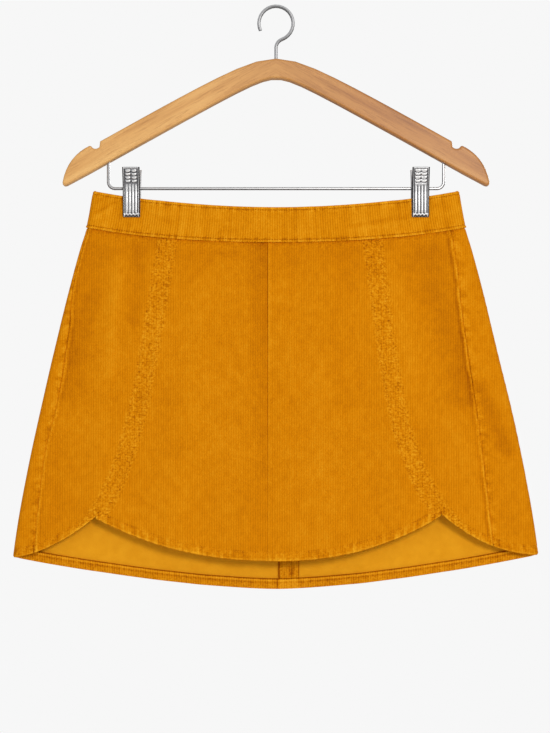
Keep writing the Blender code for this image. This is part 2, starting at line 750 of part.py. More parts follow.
def bore_hole(wood, x, mouth_drop, depth, wire_radius):
    """A blind hole for a wire, going down from the mouth, or up where depth is negative."""
    outside = math.copysign(2 * WOOD_EDGE_ROUND, depth)
    middle = mouth_drop + (depth - outside) / 2
    length = abs(depth + outside) + 2 * GAP
    boolean(wood, lambda bm: cylinder_mesh(bm, (x, 0.0, -middle), (0, 0, 1),
                                           wire_radius + BORE_CLEARANCE, length, 12), "DIFFERENCE")


def arc_points(centre, radius, start_degrees, end_degrees, count):
    """Points in the XZ plane on an arc about centre (x, z)."""
    points = []
    for k in range(count + 1):
        angle = math.radians(lerp(start_degrees, end_degrees, k / count))
        points.append(Vector((centre[0] + radius * math.cos(angle), 0.0, centre[1] + radius * math.sin(angle))))
    return points


def build_hook(metal):
    radius = CROOK_RADIUS + HOOK_WIRE
    crook = arc_points((0.0, -CROOK_RADIUS), radius, CROOK_OPEN_ANGLE, CROOK_NECK_ANGLE, 22)
    last = crook[-1]
    neck_turn = 90 + CROOK_NECK_ANGLE
    back_radius = last.x / (1 - math.sin(math.radians(neck_turn)))
    direction = math.radians(CROOK_NECK_ANGLE)
    centre = (last.x + back_radius * math.cos(direction), last.z + back_radius * math.sin(direction))
    neck = arc_points(centre, back_radius, CROOK_NECK_ANGLE + 180, 180, 5)[1:]
    stem_end = -(wood_top(0.0) + HOOK_DEPTH_IN_WOOD)
    stem = [Vector((0.0, 0.0, lerp(neck[-1].z, stem_end, k / 3))) for k in range(1, 4)]
    wire("hook", crook + neck + stem, HOOK_WIRE, metal)


def build_bar(metal):
    leg_top = -(wood_low(BAR_HALF) - BAR_DEPTH_IN_WOOD)
    bend_x, bend_z = BAR_HALF - BAR_BEND, -BAR_DROP + BAR_BEND
    right = arc_points((bend_x, bend_z), BAR_BEND, -90, 0, 5) + [Vector((BAR_HALF, 0.0, leg_top))]
    left = [Vector((-p.x, p.y, p.z)) for p in reversed(right)]
    wire("hanger_bar", left + right, BAR_WIRE, metal)


def jaw_rings(centre_x, facing):
    """Channel sections down a jaw; facing is -1 for the front jaw and 1 for the back one."""
    half = JAW_WIDTH / 2
    rings = []
    for drop, face_y, flange in JAW_PROFILE:
        inner = half - JAW_SHEET
        section = ((half - JAW_CORNER, 0.0), (half, JAW_CORNER), (half, flange), (inner, flange),
                   (inner, JAW_SHEET))
        mirrored = tuple((-x, depth) for x, depth in reversed(section))
        rings.append([Vector((centre_x + x, facing * (face_y - depth), -drop))
                      for x, depth in section + mirrored])
    return rings


def ear(bm, x_low, x_high, facing):
    """A flat lug from a jaw to a round end about the bar."""
    root_y = EAR_ROOT_Y * facing
    outline = [(root_y, -BAR_DROP - EAR_HALF_ROOT), (root_y, -BAR_DROP + EAR_HALF_ROOT)]
    for k in range(9):
        angle = math.radians(lerp(75, -75, k / 8))
        outline.append((-facing * EAR_RADIUS * math.cos(angle), -BAR_DROP + EAR_RADIUS * math.sin(angle)))
    loft(bm, [[Vector((x, y, z)) for y, z in outline] for x in (x_low, x_high)])


def tube_mesh(bm, centre_x, sides=16):
    """A short thick-walled tube round the bar."""
    corners = ((-SPRING_HALF, SPRING_INNER), (-SPRING_HALF, SPRING_OUTER),
               (SPRING_HALF, SPRING_OUTER), (SPRING_HALF, SPRING_INNER))
    loops = []
    for k in range(sides):
        angle = 2 * math.pi * k / sides
        loops.append([bm.verts.new((centre_x + dx, radius * math.cos(angle),
                                    radius * math.sin(angle) - BAR_DROP)) for dx, radius in corners])
    for a, b in zip(loops, loops[1:] + loops[:1]):
        for k in range(4):
            bm.faces.new((a[k], a[(k + 1) % 4], b[(k + 1) % 4], b[k]))


def build_clip(name, centre_x, metal):
    for facing, jaw_name, ear_x in ((-1, "front_jaw", EAR_X_FRONT), (1, "back_jaw", EAR_X_BACK)):
        bm = bmesh.new()
        loft(bm, jaw_rings(centre_x, facing))
        jaw = make_object(name + "_" + jaw_name, bm, metal, 50)
        for side in (-1, 1):
            span = sorted((centre_x + side * ear_x, centre_x + side * (ear_x + EAR_SHEET)))
            boolean(jaw, lambda bm, span=span, facing=facing: ear(bm, *span, facing), "UNION")
        boolean(jaw, lambda bm: cylinder_mesh(bm, (centre_x, 0, -BAR_DROP), (1, 0, 0),
                                              BAR_WIRE + BORE_CLEARANCE, JAW_WIDTH + GAP, 16), "DIFFERENCE")
    bm = bmesh.new()
    tube_mesh(bm, centre_x)
    make_object(name + "_spring", bm, metal, 50)


def main():
    clear_scene()
    corduroy = finish("corduroy", (0.68, 0.225, 0.006), 0.85)
    corduroy_band = finish("corduroy_band", (0.73, 0.28, 0.010), 0.85)
    hem_cloth = finish("hem_cloth", (0.60, 0.19, 0.006), 0.85)
    allowance = finish("allowance", (0.65, 0.24, 0.012), 0.85)
    tape = finish("zip_tape", (0.60, 0.22, 0.012), 0.80)
    coil = finish("zip_coil", (0.66, 0.26, 0.016), 0.40)
    zip_metal = finish("zip_metal", (0.70, 0.68, 0.64), 0.30, 1.0)
    wood = finish("wood", (0.78, 0.46, 0.19), 0.45)
    chrome = finish("chrome", (0.72, 0.72, 0.73), 0.12, 1.0)
    panel_columns = build_panels(corduroy, hem_cloth)
    build_allowances(panel_columns, allowance)
    build_waistband(corduroy_band)
    build_zip(tape, coil, zip_metal)
    build_wood(wood)
    build_hook(chrome)
    build_bar(chrome)
    build_clip("clip_left", -CLIP_X, chrome)
    build_clip("clip_right", CLIP_X, chrome)


main()
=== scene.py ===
"""A-line corduroy skirt held by two clips on a wooden hanger.

Metres, +Z up, +X to the viewer's right, the front of the skirt faces -Y. The origin is the inside top
of the hook's crook. "Drop" is the distance below that point. Left and right are as seen from the front.
"a" is the distance along the cloth outwards from the middle of the front, or of the back.
"""
import math
from collections import namedtuple

import bpy
import numpy as np
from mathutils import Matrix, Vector


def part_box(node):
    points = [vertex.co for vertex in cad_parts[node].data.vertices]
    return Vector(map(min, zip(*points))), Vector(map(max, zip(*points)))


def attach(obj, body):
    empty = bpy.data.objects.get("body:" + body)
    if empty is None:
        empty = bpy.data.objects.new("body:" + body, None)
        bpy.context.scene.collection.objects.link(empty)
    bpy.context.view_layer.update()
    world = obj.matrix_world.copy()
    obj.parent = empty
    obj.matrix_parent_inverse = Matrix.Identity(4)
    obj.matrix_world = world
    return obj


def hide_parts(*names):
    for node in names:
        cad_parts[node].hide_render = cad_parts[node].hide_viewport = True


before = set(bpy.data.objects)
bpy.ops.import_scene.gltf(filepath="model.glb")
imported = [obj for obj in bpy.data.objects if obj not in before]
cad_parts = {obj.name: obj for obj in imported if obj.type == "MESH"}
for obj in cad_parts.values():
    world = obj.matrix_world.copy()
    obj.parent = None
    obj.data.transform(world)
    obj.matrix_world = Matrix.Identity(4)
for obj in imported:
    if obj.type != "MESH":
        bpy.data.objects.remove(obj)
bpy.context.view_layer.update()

bl_info = {
    "name": "A-line Skirt on a Clip Hanger",
    "version": (1, 0, 0),
    "blender": (4, 5, 0),
    "location": "View3D > Sidebar > Skirt",
    "description": "Builds a corduroy skirt with its stitching and zip, and the clip hanger that holds it",
    "category": "Object",
}

Ring = namedtuple("Ring", "drop half_width fold_radius front_belly back_belly")
SeamPoint = namedtuple("SeamPoint", "drop inset")
Side = namedtuple("Side", "top_x notch_x notch_drop straight_share seam corner_drop hem_power")
Fold = namedtuple("Fold", "waist_s hem_s spread height start_drop")
Crease = namedtuple("Crease", "x drop end_x end_drop spread height")
Light = namedtuple("Light", "name place size share colour")

# ---------------------------------------------------------------- sizes of the solids
GAP = 0.0003                # between the solids
SEAM_GAP = -0.00005         # sewn pieces just meet here
PANEL_WALL = 0.0016
BAND_WALL = 0.0030
BAND_PROUD = 0.0004
HEM_WALL = 0.0015
HEM_DEPTH = 0.0110
ALLOWANCE_WALL = 0.0010
ALLOWANCE_WIDTH = 0.0220
ZIP_GAP = 0.0016
ZIP_END_DROP = 0.385
TAPE_INSET, TAPE_WALL, TAPE_WIDTH, TAPE_SPLIT = 0.0032, 0.0010, 0.0120, 0.0011
TAPE_RIB = 0.0016
CHAIN_INSET, CHAIN_WALL, CHAIN_HALF = 0.0045, 0.0014, 0.0022

RINGS = tuple(Ring(*row) for row in (
    (0.188, 0.1895, 0.0048, 0.0034, 0.0038),
    (0.229, 0.1968, 0.0050, 0.0036, 0.0038),
    (0.250, 0.2035, 0.0052, 0.0040, 0.0042),
    (0.291, 0.2142, 0.0055, 0.0048, 0.0050),
    (0.358, 0.2309, 0.0060, 0.0058, 0.0058),
    (0.424, 0.2465, 0.0064, 0.0066, 0.0062),
    (0.491, 0.2605, 0.0068, 0.0070, 0.0062),
    (0.557, 0.2714, 0.0070, 0.0070, 0.0060),
    (0.610, 0.2775, 0.0072, 0.0070, 0.0058),
))
SEAM_LEFT = tuple(SeamPoint(*row) for row in (
    (0.229, 0.0046), (0.293, 0.0069), (0.330, 0.0130), (0.408, 0.0200),
    (0.460, 0.0190), (0.514, 0.0225), (0.571, 0.0258)))
SEAM_RIGHT = tuple(SeamPoint(*row) for row in (
    (0.232, 0.0195), (0.271, 0.0238), (0.306, 0.0295), (0.347, 0.0340),
    (0.434, 0.0420), (0.487, 0.0465), (0.520, 0.0490), (0.568, 0.0508)))
SIDES = {
    -1: Side(-0.1138, -0.1877, 0.5294, 0.62, SEAM_LEFT, 0.5710, 1.78),
    1: Side(0.0988, 0.1721, 0.5266, 0.50, SEAM_RIGHT, 0.5683, 2.20),
}
CURVE_POWER = 5
CENTRE_FRONT_X = -0.0083
CENTRE_BACK_X = 0.0020
WAIST_TOP_DROP, WAIST_TOP_CLIMB, WAIST_TOP_POWER = 0.2079, 0.0176, 1.9
WAIST_SEAM_DROP, WAIST_SEAM_CLIMB, WAIST_SEAM_POWER = 0.2444, 0.0160, 2.2
FRONT_HEM_DROP, CENTRE_HEM_POWER = 0.5738, 2.15
BACK_HEM_DROP, BACK_HEM_POWER = 0.6058, 1.55
CLIP_X, CLAMP_HALF, CLAMP_FLAT, CLAMP_FADE = 0.1498, 0.0030, 0.0125, 0.0360
CLAMP_FULL_DROP, CLAMP_END_DROP = 0.222, 0.268
FOLDS = tuple(Fold(*row) for row in (
    (-0.075, -0.060, 0.060, -0.0016, 0.240),
    (0.14, 0.19, 0.070, 0.0009, 0.290),
    (-0.36, -0.40, 0.060, 0.0010, 0.270),
    (0.38, 0.40, 0.045, -0.0008, 0.240),
    (-0.79, -0.68, 0.045, 0.0011, 0.240),
    (-0.90, -0.84, 0.035, -0.0008, 0.250),
    (0.64, 0.78, 0.050, 0.0013, 0.240),
    (0.79, 0.88, 0.040, -0.0010, 0.240),
    (1.45, 1.40, 0.070, 0.0016, 0.280),
    (1.66, 1.68, 0.055, -0.0012, 0.340),
    (-1.42, -1.36, 0.065, 0.0014, 0.300),
    (-1.70, -1.72, 0.060, -0.0014, 0.270),
))
FOLD_RISE = 0.120
BODY_LENGTH = 0.330

# ---------------------------------------------------------------- creases placed one by one
# From one point to another, half spread, height (+ outwards). Fronts are read at x across the front.
FRONT_CREASES = tuple(Crease(*row) for row in (
    (-0.1640, 0.256, -0.1730, 0.385, 0.0060, 0.0010),
    (-0.1860, 0.246, -0.2160, 0.410, 0.0170, -0.0013),
    (-0.1420, 0.246, -0.1480, 0.330, 0.0085, -0.0013),
    (-0.2140, 0.325, -0.2110, 0.372, 0.0050, -0.0009),
    (-0.2260, 0.440, -0.2330, 0.540, 0.0060, -0.0007),
    (-0.0800, 0.272, -0.0880, 0.330, 0.0150, 0.0004),
    (-0.0660, 0.2540, -0.0520, 0.2575, 0.0022, -0.0009),
    (-0.0520, 0.2575, -0.0360, 0.2535, 0.0022, -0.0008),
    (-0.0960, 0.292, -0.0640, 0.256, 0.0045, -0.0007),
    (0.0750, 0.246, 0.0740, 0.262, 0.0060, -0.0009),
    (0.0180, 0.250, 0.0160, 0.300, 0.0050, -0.0006),
    (0.0150, 0.335, 0.0160, 0.400, 0.0035, 0.0005),
    (0.0160, 0.470, 0.0160, 0.500, 0.0030, 0.0005),
    (0.1150, 0.252, 0.1420, 0.400, 0.0090, 0.0007),
    (0.1540, 0.248, 0.2000, 0.415, 0.0230, -0.0016),
    (0.1960, 0.375, 0.2100, 0.430, 0.0100, -0.0008),
    (0.0620, 0.300, 0.0660, 0.420, 0.0120, -0.0006),
    (-0.0700, 0.380, -0.0520, 0.460, 0.0140, 0.0003),
    (-0.1180, 0.390, -0.0980, 0.470, 0.0100, -0.0005),
    (0.0400, 0.455, 0.0560, 0.530, 0.0110, 0.0002),
    (0.0600, 0.246, 0.0780, 0.300, 0.0110, -0.0007),
    (0.1500, 0.430, 0.1620, 0.500, 0.0090, -0.0006),
    (-0.1440, 0.4040, -0.1320, 0.4065, 0.0018, -0.0008),
))
# The strips of the back panels that come round to the front are read at x across the front too.
STRIP_CREASES = tuple(Crease(*row) for row in (
    (0.2090, 0.392, 0.2410, 0.466, 0.0080, -0.0020),
    (0.2360, 0.290, 0.2600, 0.500, 0.0160, -0.0004),
    (0.2360, 0.400, 0.2600, 0.490, 0.0050, 0.0006),
    (0.2060, 0.270, 0.2150, 0.330, 0.0040, -0.0005),
))
BACK_CREASES = tuple(Crease(*row) for row in (
    (0.1580, 0.246, 0.1720, 0.420, 0.0090, 0.0013),
    (0.1340, 0.248, 0.1380, 0.340, 0.0080, -0.0010),
    (-0.1640, 0.246, -0.1820, 0.400, 0.0085, 0.0012),
    (-0.1380, 0.247, -0.1460, 0.360, 0.0075, -0.0009),
    (0.0300, 0.262, 0.0240, 0.380, 0.0110, -0.0009),
    (-0.0340, 0.300, -0.0420, 0.450, 0.0130, 0.0008),
    (0.0880, 0.330, 0.0960, 0.480, 0.0140, 0.0007),
    (-0.1020, 0.420, -0.0880, 0.540, 0.0110, -0.0007),
    (0.1900, 0.420, 0.2050, 0.540, 0.0100, -0.0008),
    (-0.2080, 0.400, -0.2200, 0.520, 0.0090, 0.0007),
))
BAND_CREASES = tuple(Crease(*row) for row in (
    (-0.1600, 0.205, -0.1600, 0.228, 0.0120, -0.0005),
    (0.1760, 0.200, 0.1780, 0.226, 0.0120, -0.0004),
    (-0.1600, 0.1990, -0.1900, 0.2150, 0.0022, -0.0009),
    (-0.1640, 0.2030, -0.1880, 0.2200, 0.0026, 0.0006),
    (-0.1720, 0.1960, -0.1870, 0.2030, 0.0018, -0.0006),
    (0.0740, 0.2285, 0.1390, 0.2170, 0.0022, -0.0007),
    (0.0740, 0.2330, 0.1380, 0.2230, 0.0030, 0.0005),
    (0.1610, 0.2080, 0.1800, 0.2000, 0.0020, -0.0005),
    (0.1600, 0.2160, 0.1860, 0.2130, 0.0028, 0.0005),
    (-0.1380, 0.2130, -0.1080, 0.2240, 0.0026, -0.0005),
    (0.1380, 0.2050, 0.1180, 0.2120, 0.0024, -0.0004),
    (-0.0180, 0.2100, -0.0150, 0.2380, 0.0024, -0.0004),
))
CREASE_END = 0.012          # length over which a crease fades out at each end

# Crinkled bands along the curved front seams
CRINKLE_ROW = 0.0072        # from the seam to each row of topstitching
CRINKLE_SPREAD = 0.0030
CRINKLE_HEIGHT = 0.0006
CRINKLE_LENGTH = 0.0038     # from one pucker to the next
SEAM_REACH = 0.001          # either side of a point, when a seam's slope is measured
HEM_STITCH = 0.0088         # topstitching above the hem's edge
TOP_STITCH = 0.0030         # topstitching inside each edge of the waistband
STITCH_LINE_STEP = 0.0011   # from point to point of a line that stitches follow
CHAIN_LINE_STEP = 0.0020    # and of the line that the zip's coil follows
THREAD_LIFT = 0.0001        # stitches stand this far off a panel
BAND_THREAD_LIFT = 0.00025  # and off the waistband
SHORTEST_COLUMN, SHORTEST_HEM = 0.0022, 0.0035
SETTLING_STEPS = 6          # rounds in which an edge's drop and its place round the girth agree
EDGE_ROWS = (0.0, 0.0003, 0.0008, 0.0016)
FOLD_PAINTED_LIGHT = 190.0           # painted light of the folds: how much lighter the pile is painted for each metre that a fold stands out, and darker for each metre it sinks
WAIST_SHADE = 0.14          # how much darker the front is just below the waistband
BAND_HALF = 0.0132          # half the width of a crinkled band
ROPE_STRENGTH = {-1: 0.5, 1: 0.9}

# Seeds of the uneven patterns
SOFT_SEED = 11
CRINKLE_SEED = 21
HEM_SEED, TURNED_HEM_SEED = 31, 33
GATHER_SEED = 41
ROPE_SEED, SIDE_RIPPLE_SEED, BEND_SEED = 51, 53, 54
BAND_SEED, NARROW_SEED = 61, 62
WAVE_SEED, SHADE_WAVER_SEED, SHADE_BREAK_SEED = 71, 72, 73


# ---------------------------------------------------------------- the cloth's surface
def lerp(a, b, t):
    return a + (b - a) * t


def smooth(t):
    """0 to 1 with level ends."""
    t = np.clip(t, 0.0, 1.0)
    return t * t * (3.0 - 2.0 * t)


def bell(distance, spread):
    return np.exp(-(distance / spread) ** 2)


def look_up(rows, drop, column):
    """One column of a table at any drop, on a smooth curve through the rows that it holds."""
    last = len(rows) - 2
    i = 0
    while i < last and drop > rows[i + 1].drop:
        i += 1
    near = (rows[max(i - 1, 0)], rows[i], rows[i + 1], rows[min(i + 2, last + 1)])
    before, low, high, after = [(row.drop, getattr(row, column)) for row in near]
    span = high[0] - low[0]
    t = (drop - low[0]) / span
    slope_low = (high[1] - before[1]) / (high[0] - before[0]) * span
    slope_high = (after[1] - low[1]) / (after[0] - low[0]) * span
    t2, t3 = t * t, t * t * t
    return (low[1] * (2 * t3 - 3 * t2 + 1) + slope_low * (t3 - 2 * t2 + t)
            + high[1] * (3 * t2 - 2 * t3) + slope_high * (t3 - t2))


DROPS = np.linspace(0.186, 0.612, 853)
SEAM_DROPS = np.linspace(0.226, 0.576, 351)
RING_CURVES = {column: np.array([look_up(RINGS, drop, column) for drop in DROPS])
               for column in Ring._fields[1:]}
SEAM_CURVES = {sign: np.array([look_up(side.seam, drop, "inset") for drop in SEAM_DROPS])
               for sign, side in SIDES.items()}


def ring(column, drop):
    return np.interp(drop, DROPS, RING_CURVES[column])


def half_front(drop):
    """Length along the cloth from the middle of the front to a side fold."""
    radius = ring("fold_radius", drop)
    return ring("half_width", drop) - radius + radius * math.pi / 2


def fold_height(s, drop):
    total = np.zeros(np.broadcast(s, drop).shape)
    down = smooth((drop - WAIST_SEAM_DROP) / BODY_LENGTH)
    for fold in FOLDS:
        grown = smooth((drop - fold.start_drop) / FOLD_RISE)
        total += fold.height * grown * bell(s - lerp(fold.waist_s, fold.hem_s, down), fold.spread)
    return total


def cloth_points(s, drop, raised):
    """Points of the cloth as an array, raised outwards from the solids' outer surface."""
    s, drop, raised = np.broadcast_arrays(s, drop, raised)
    radius = ring("fold_radius", drop)
    flat = ring("half_width", drop) - radius
    in_front = np.abs(s) <= 1.0
    along = np.where(in_front, s, (2.0 - np.abs(s)) * np.sign(s)) * (flat + radius * math.pi / 2)
    across = np.abs(along)
    turn = np.maximum(across - flat, 0.0) / radius
    facing = np.cos(np.minimum(turn, math.pi / 2))
    x = np.where(along < 0, -1.0, 1.0) * (np.minimum(across, flat) + (radius + raised) * np.sin(turn))
    belly = np.where(in_front, ring("front_belly", drop), ring("back_belly", drop))
    out = (radius + raised) * facing + fold_height(s, drop) * facing
    out = out + belly * (1.0 - np.minimum(across / flat, 1.0) ** 2) ** 1.5
    near_clip = 1.0 - smooth((np.abs(np.abs(x) - CLIP_X) - CLAMP_FLAT) / (CLAMP_FADE - CLAMP_FLAT))
    high_up = 1.0 - smooth((drop - CLAMP_FULL_DROP) / (CLAMP_END_DROP - CLAMP_FULL_DROP))
    out = lerp(out, CLAMP_HALF + raised, near_clip * high_up * facing)
    return np.stack((x, np.where(in_front, -out, out), -drop), axis=-1)


def reach(s):
    """0 at the middle of the front or the back, 1 at the side folds."""
    s = np.abs(s)
    return np.where(s <= 1.0, s, np.abs(2.0 - s))


def waist_top(s):
    return WAIST_TOP_DROP - WAIST_TOP_CLIMB * reach(s) ** WAIST_TOP_POWER


def waist_seam(s):
    return WAIST_SEAM_DROP - WAIST_SEAM_CLIMB * reach(s) ** WAIST_SEAM_POWER


def curve_out(sign, drop):
    """How far out from the middle of the front a curved seam is."""
    side = SIDES[sign]
    v = (drop - WAIST_SEAM_DROP) / (side.notch_drop - WAIST_SEAM_DROP)
    bend = side.straight_share * v + (1.0 - side.straight_share) * v ** CURVE_POWER
    return sign * lerp(side.top_x, side.notch_x, bend)


def curve_slope(sign, drop):
    """How far a curved seam runs outwards for each metre down."""
    step = SEAM_REACH
    return (curve_out(sign, drop + step) - curve_out(sign, drop - step)) / (2 * step)


def side_inset(sign, drop):
    return np.interp(drop, SEAM_DROPS, SEAM_CURVES[sign])


def side_out(sign, drop):
    """How far out from the middle of the front a side seam is."""
    return half_front(drop) - side_inset(sign, drop)


def side_out_from_back(sign, drop):
    return half_front(drop) + side_inset(sign, drop)


def hem(sign, s):
    """Drop of the hem: a bowl between the notches, a curve to each fold, and the back's bowl."""
    side, outward = SIDES[sign], np.abs(s)
    notch = abs(side.notch_x) / half_front(side.notch_drop)
    back = lerp(BACK_HEM_DROP, side.corner_drop, reach(s) ** BACK_HEM_POWER)
    share = np.clip((outward - notch) / (1.0 - notch), 0.0, 1.0)
    outer = lerp(side.corner_drop, side.notch_drop, (1.0 - share) ** side.hem_power)
    inner = lerp(FRONT_HEM_DROP, side.notch_drop, np.minimum(outward / notch, 1.0) ** CENTRE_HEM_POWER)
    return np.where(outward > 1.0, back, np.where(outward > notch, outer, inner))


def girth(sign, on_back, a, drop):
    """The girth position s of a point a out from the middle of the front or of the back."""
    share = a / half_front(drop)
    return sign * (2.0 - share) if on_back else sign * share


def drop_at(a, outward):
    """The drop where a seam, outward(drop), is a from the middle."""
    return np.interp(a, outward(SEAM_DROPS), SEAM_DROPS)


def noise(u, v, seed, cells=256):
    """Smooth random heights, 0 to 1, about one bump for each unit of u and v.

    A number added to u or v only picks another part of the pattern.
    """
    lattice = np.random.default_rng(seed).random((cells, cells))
    i, j = np.floor(u).astype(int), np.floor(v).astype(int)
    across, along = smooth(u - i), smooth(v - j)
    i, j = i % cells, j % cells
    i2, j2 = (i + 1) % cells, (j + 1) % cells
    low = lerp(lattice[i, j], lattice[i2, j], across)
    high = lerp(lattice[i, j2], lattice[i2, j2], across)
    return lerp(low, high, along)


def creases(table, x, drop):
    """Soft troughs and ridges along straight lines that fade at both ends."""
    total = np.zeros(np.broadcast(x, drop).shape)
    for c in table:
        length = math.hypot(c.end_x - c.x, c.end_drop - c.drop)
        ux, ud = (c.end_x - c.x) / length, (c.end_drop - c.drop) / length
        along = (x - c.x) * ux + (drop - c.drop) * ud
        off = (x - c.x) * ud - (drop - c.drop) * ux
        fade = smooth((along + CREASE_END / 2) / CREASE_END)
        fade = fade * smooth((length + CREASE_END / 2 - along) / CREASE_END)
        total += c.height * fade * bell(off, c.spread)
    return total


def crinkles(distance, along, seed):
    """Puckers in two rows beside a seam, and smaller blisters between them: height, 0 to about 1."""
    row = bell(np.abs(distance) - CRINKLE_ROW, CRINKLE_SPREAD)
    between = bell(distance, CRINKLE_ROW * 0.8)
    lean = along + 0.35 * np.abs(distance)
    puckers = noise(lean / CRINKLE_LENGTH, distance / 0.0065 + 40, seed)
    blisters = noise(along / 0.0034, distance / 0.0030 + 40, seed + 1)
    fine = noise(along / 0.0021, distance / 0.0023 + 40, seed + 2)
    return row * (1.25 * puckers + 0.35 * fine - 0.6) + between * (0.6 * blisters + 0.25 * fine - 0.35)


# ---------------------------------------------------------------- relief of the cloth
def clamp_ease(x, drop):
    """Small where a clip's jaws press the cloth flat, 1 elsewhere."""
    near = 1.0 - smooth((np.abs(np.abs(x) - CLIP_X) - 0.010) / 0.006)
    return 1.0 - 0.85 * near * (1.0 - smooth((drop - 0.219) / 0.008))


def mark_back_seams(sign, drop, centre, seam, heights):
    """The closed seam down the middle of the back, with painted shade along its groove, and ripples beside
    a side seam, painted only, as light and dark bands.
    """
    _, fine, painted_light_and_tone, pucker = heights
    ripple = noise(drop / 0.0036 + 7 * sign, seam / 0.0120 + 20, SIDE_RIPPLE_SEED) - 0.5
    painted_light_and_tone += 0.9 * ripple * smooth((0.0100 - seam) / 0.0070)
    fine -= 0.0006 * bell(centre, 0.0009)
    painted_light_and_tone -= 0.4 * bell(centre, 0.0011)
    pucker += 0.35 * bell(centre, 0.0050) + 0.40 * bell(seam, 0.0070)


def mark_front_centre(sign, drop, centre, heights):
    """The seam down the front: a dip on its left side with painted shade, and a ridge on its right with a
    painted highlight.
    """
    soft, fine, painted_light_and_tone, _ = heights
    fade = 1.0 - 0.6 * smooth((drop - 0.26) / 0.26)
    if sign < 0:
        soft -= 0.0011 * smooth((0.024 - centre) / 0.022) * fade
        high_up = 1.0 - 0.75 * smooth((drop - 0.33) / 0.10)
        painted_light_and_tone -= 0.19 * smooth((0.024 - centre) / 0.010) * high_up + 0.25 * bell(centre, 0.0011) * fade
        painted_light_and_tone -= 0.10 * bell(centre - 0.0050, 0.0050) * (1.0 - smooth((drop - 0.48) / 0.03))
    else:
        fine += 0.0005 * bell(centre - 0.0012, 0.0012) * fade
        painted_light_and_tone += 0.35 * bell(centre - 0.0012, 0.0013) * fade


def mark_curved_seam(sign, a, drop, edge, heights, cloth):
    """The crinkled band along a curved seam, painted lighter on the puckers' crests and darker in their
    dips and along the seam: painted highlights and shade.
    """
    _, fine, painted_light_and_tone, pucker = heights
    slope = curve_slope(sign, drop)
    away = (a - curve_out(sign, drop)) / np.sqrt(1.0 + slope ** 2)
    band = smooth((BAND_HALF - np.abs(away - sign * 0.0014)) / 0.0046) * (edge > 0.0)
    ridge = crinkles(away, drop * 1.05 * (1.0 + 0.4 * slope ** 2), CRINKLE_SEED + sign)
    fine *= 1.0 - 0.7 * band
    fine += cloth.crinkle_height * ridge
    fine -= 0.0003 * bell(away, 0.0009) + 0.0003 * bell(np.abs(away) - CRINKLE_ROW, 0.0006)
    painted_light_and_tone += band * (0.45 * ridge - 0.05) - 0.08 * bell(away, 0.0010)
    pucker += band * (0.75 + 0.25 * bell(np.abs(away) - CRINKLE_ROW, CRINKLE_SPREAD))


def mark_front_side(sign, drop, seam, heights):
    """The roped ridge just inside a side seam, with a painted highlight on the ridge and painted shade
    along its edge.
    """
    _, fine, painted_light_and_tone, pucker = heights
    rope = noise(drop / 0.0048 + 5 * sign, seam / 0.0040 + 20, ROPE_SEED)
    strong = ROPE_STRENGTH[sign] * (1.0 - 0.6 * bell(drop - 0.445, 0.050))
    bent = seam + 0.0026 * (noise(drop / 0.0120 + 5 * sign, 20.5 + 0 * drop, BEND_SEED) - 0.5)
    fine += 0.0009 * strong * (0.4 + rope) * bell(bent - 0.0018, 0.0013)
    painted_light_and_tone += strong * 0.95 * (0.25 + rope) * bell(bent - 0.0016, 0.0014)
    painted_light_and_tone -= strong * 0.55 * bell(bent - 0.0044, 0.0018)
    pucker += 0.5 * bell(seam - 0.0018, 0.0022)


def mark_hem(a, edge, heights):
    """Upright ripples below the hem's stitching, painted lighter on their crests, and a painted highlight
    along the edge with a line of painted shade at the very edge and along the stitching. Returns how near
    the hem is.
    """
    _, fine, painted_light_and_tone, _ = heights
    ripple = noise(a / 0.0031, edge / 0.0130 + 20, HEM_SEED) - 0.5
    near_hem = smooth((0.0112 - edge) / 0.0025)
    fine += 0.0008 * ripple * near_hem
    fine -= 0.0003 * bell(edge - HEM_STITCH, 0.0007) + 0.0010 * (1.0 - smooth(edge / 0.0016))
    painted_light_and_tone += (1.15 * ripple + 0.05) * near_hem + 0.75 * bell(edge - 0.0008, 0.0011)
    painted_light_and_tone -= 0.25 * bell(edge - HEM_STITCH, 0.0009) + 1.2 * bell(edge, 0.00045)
    return near_hem


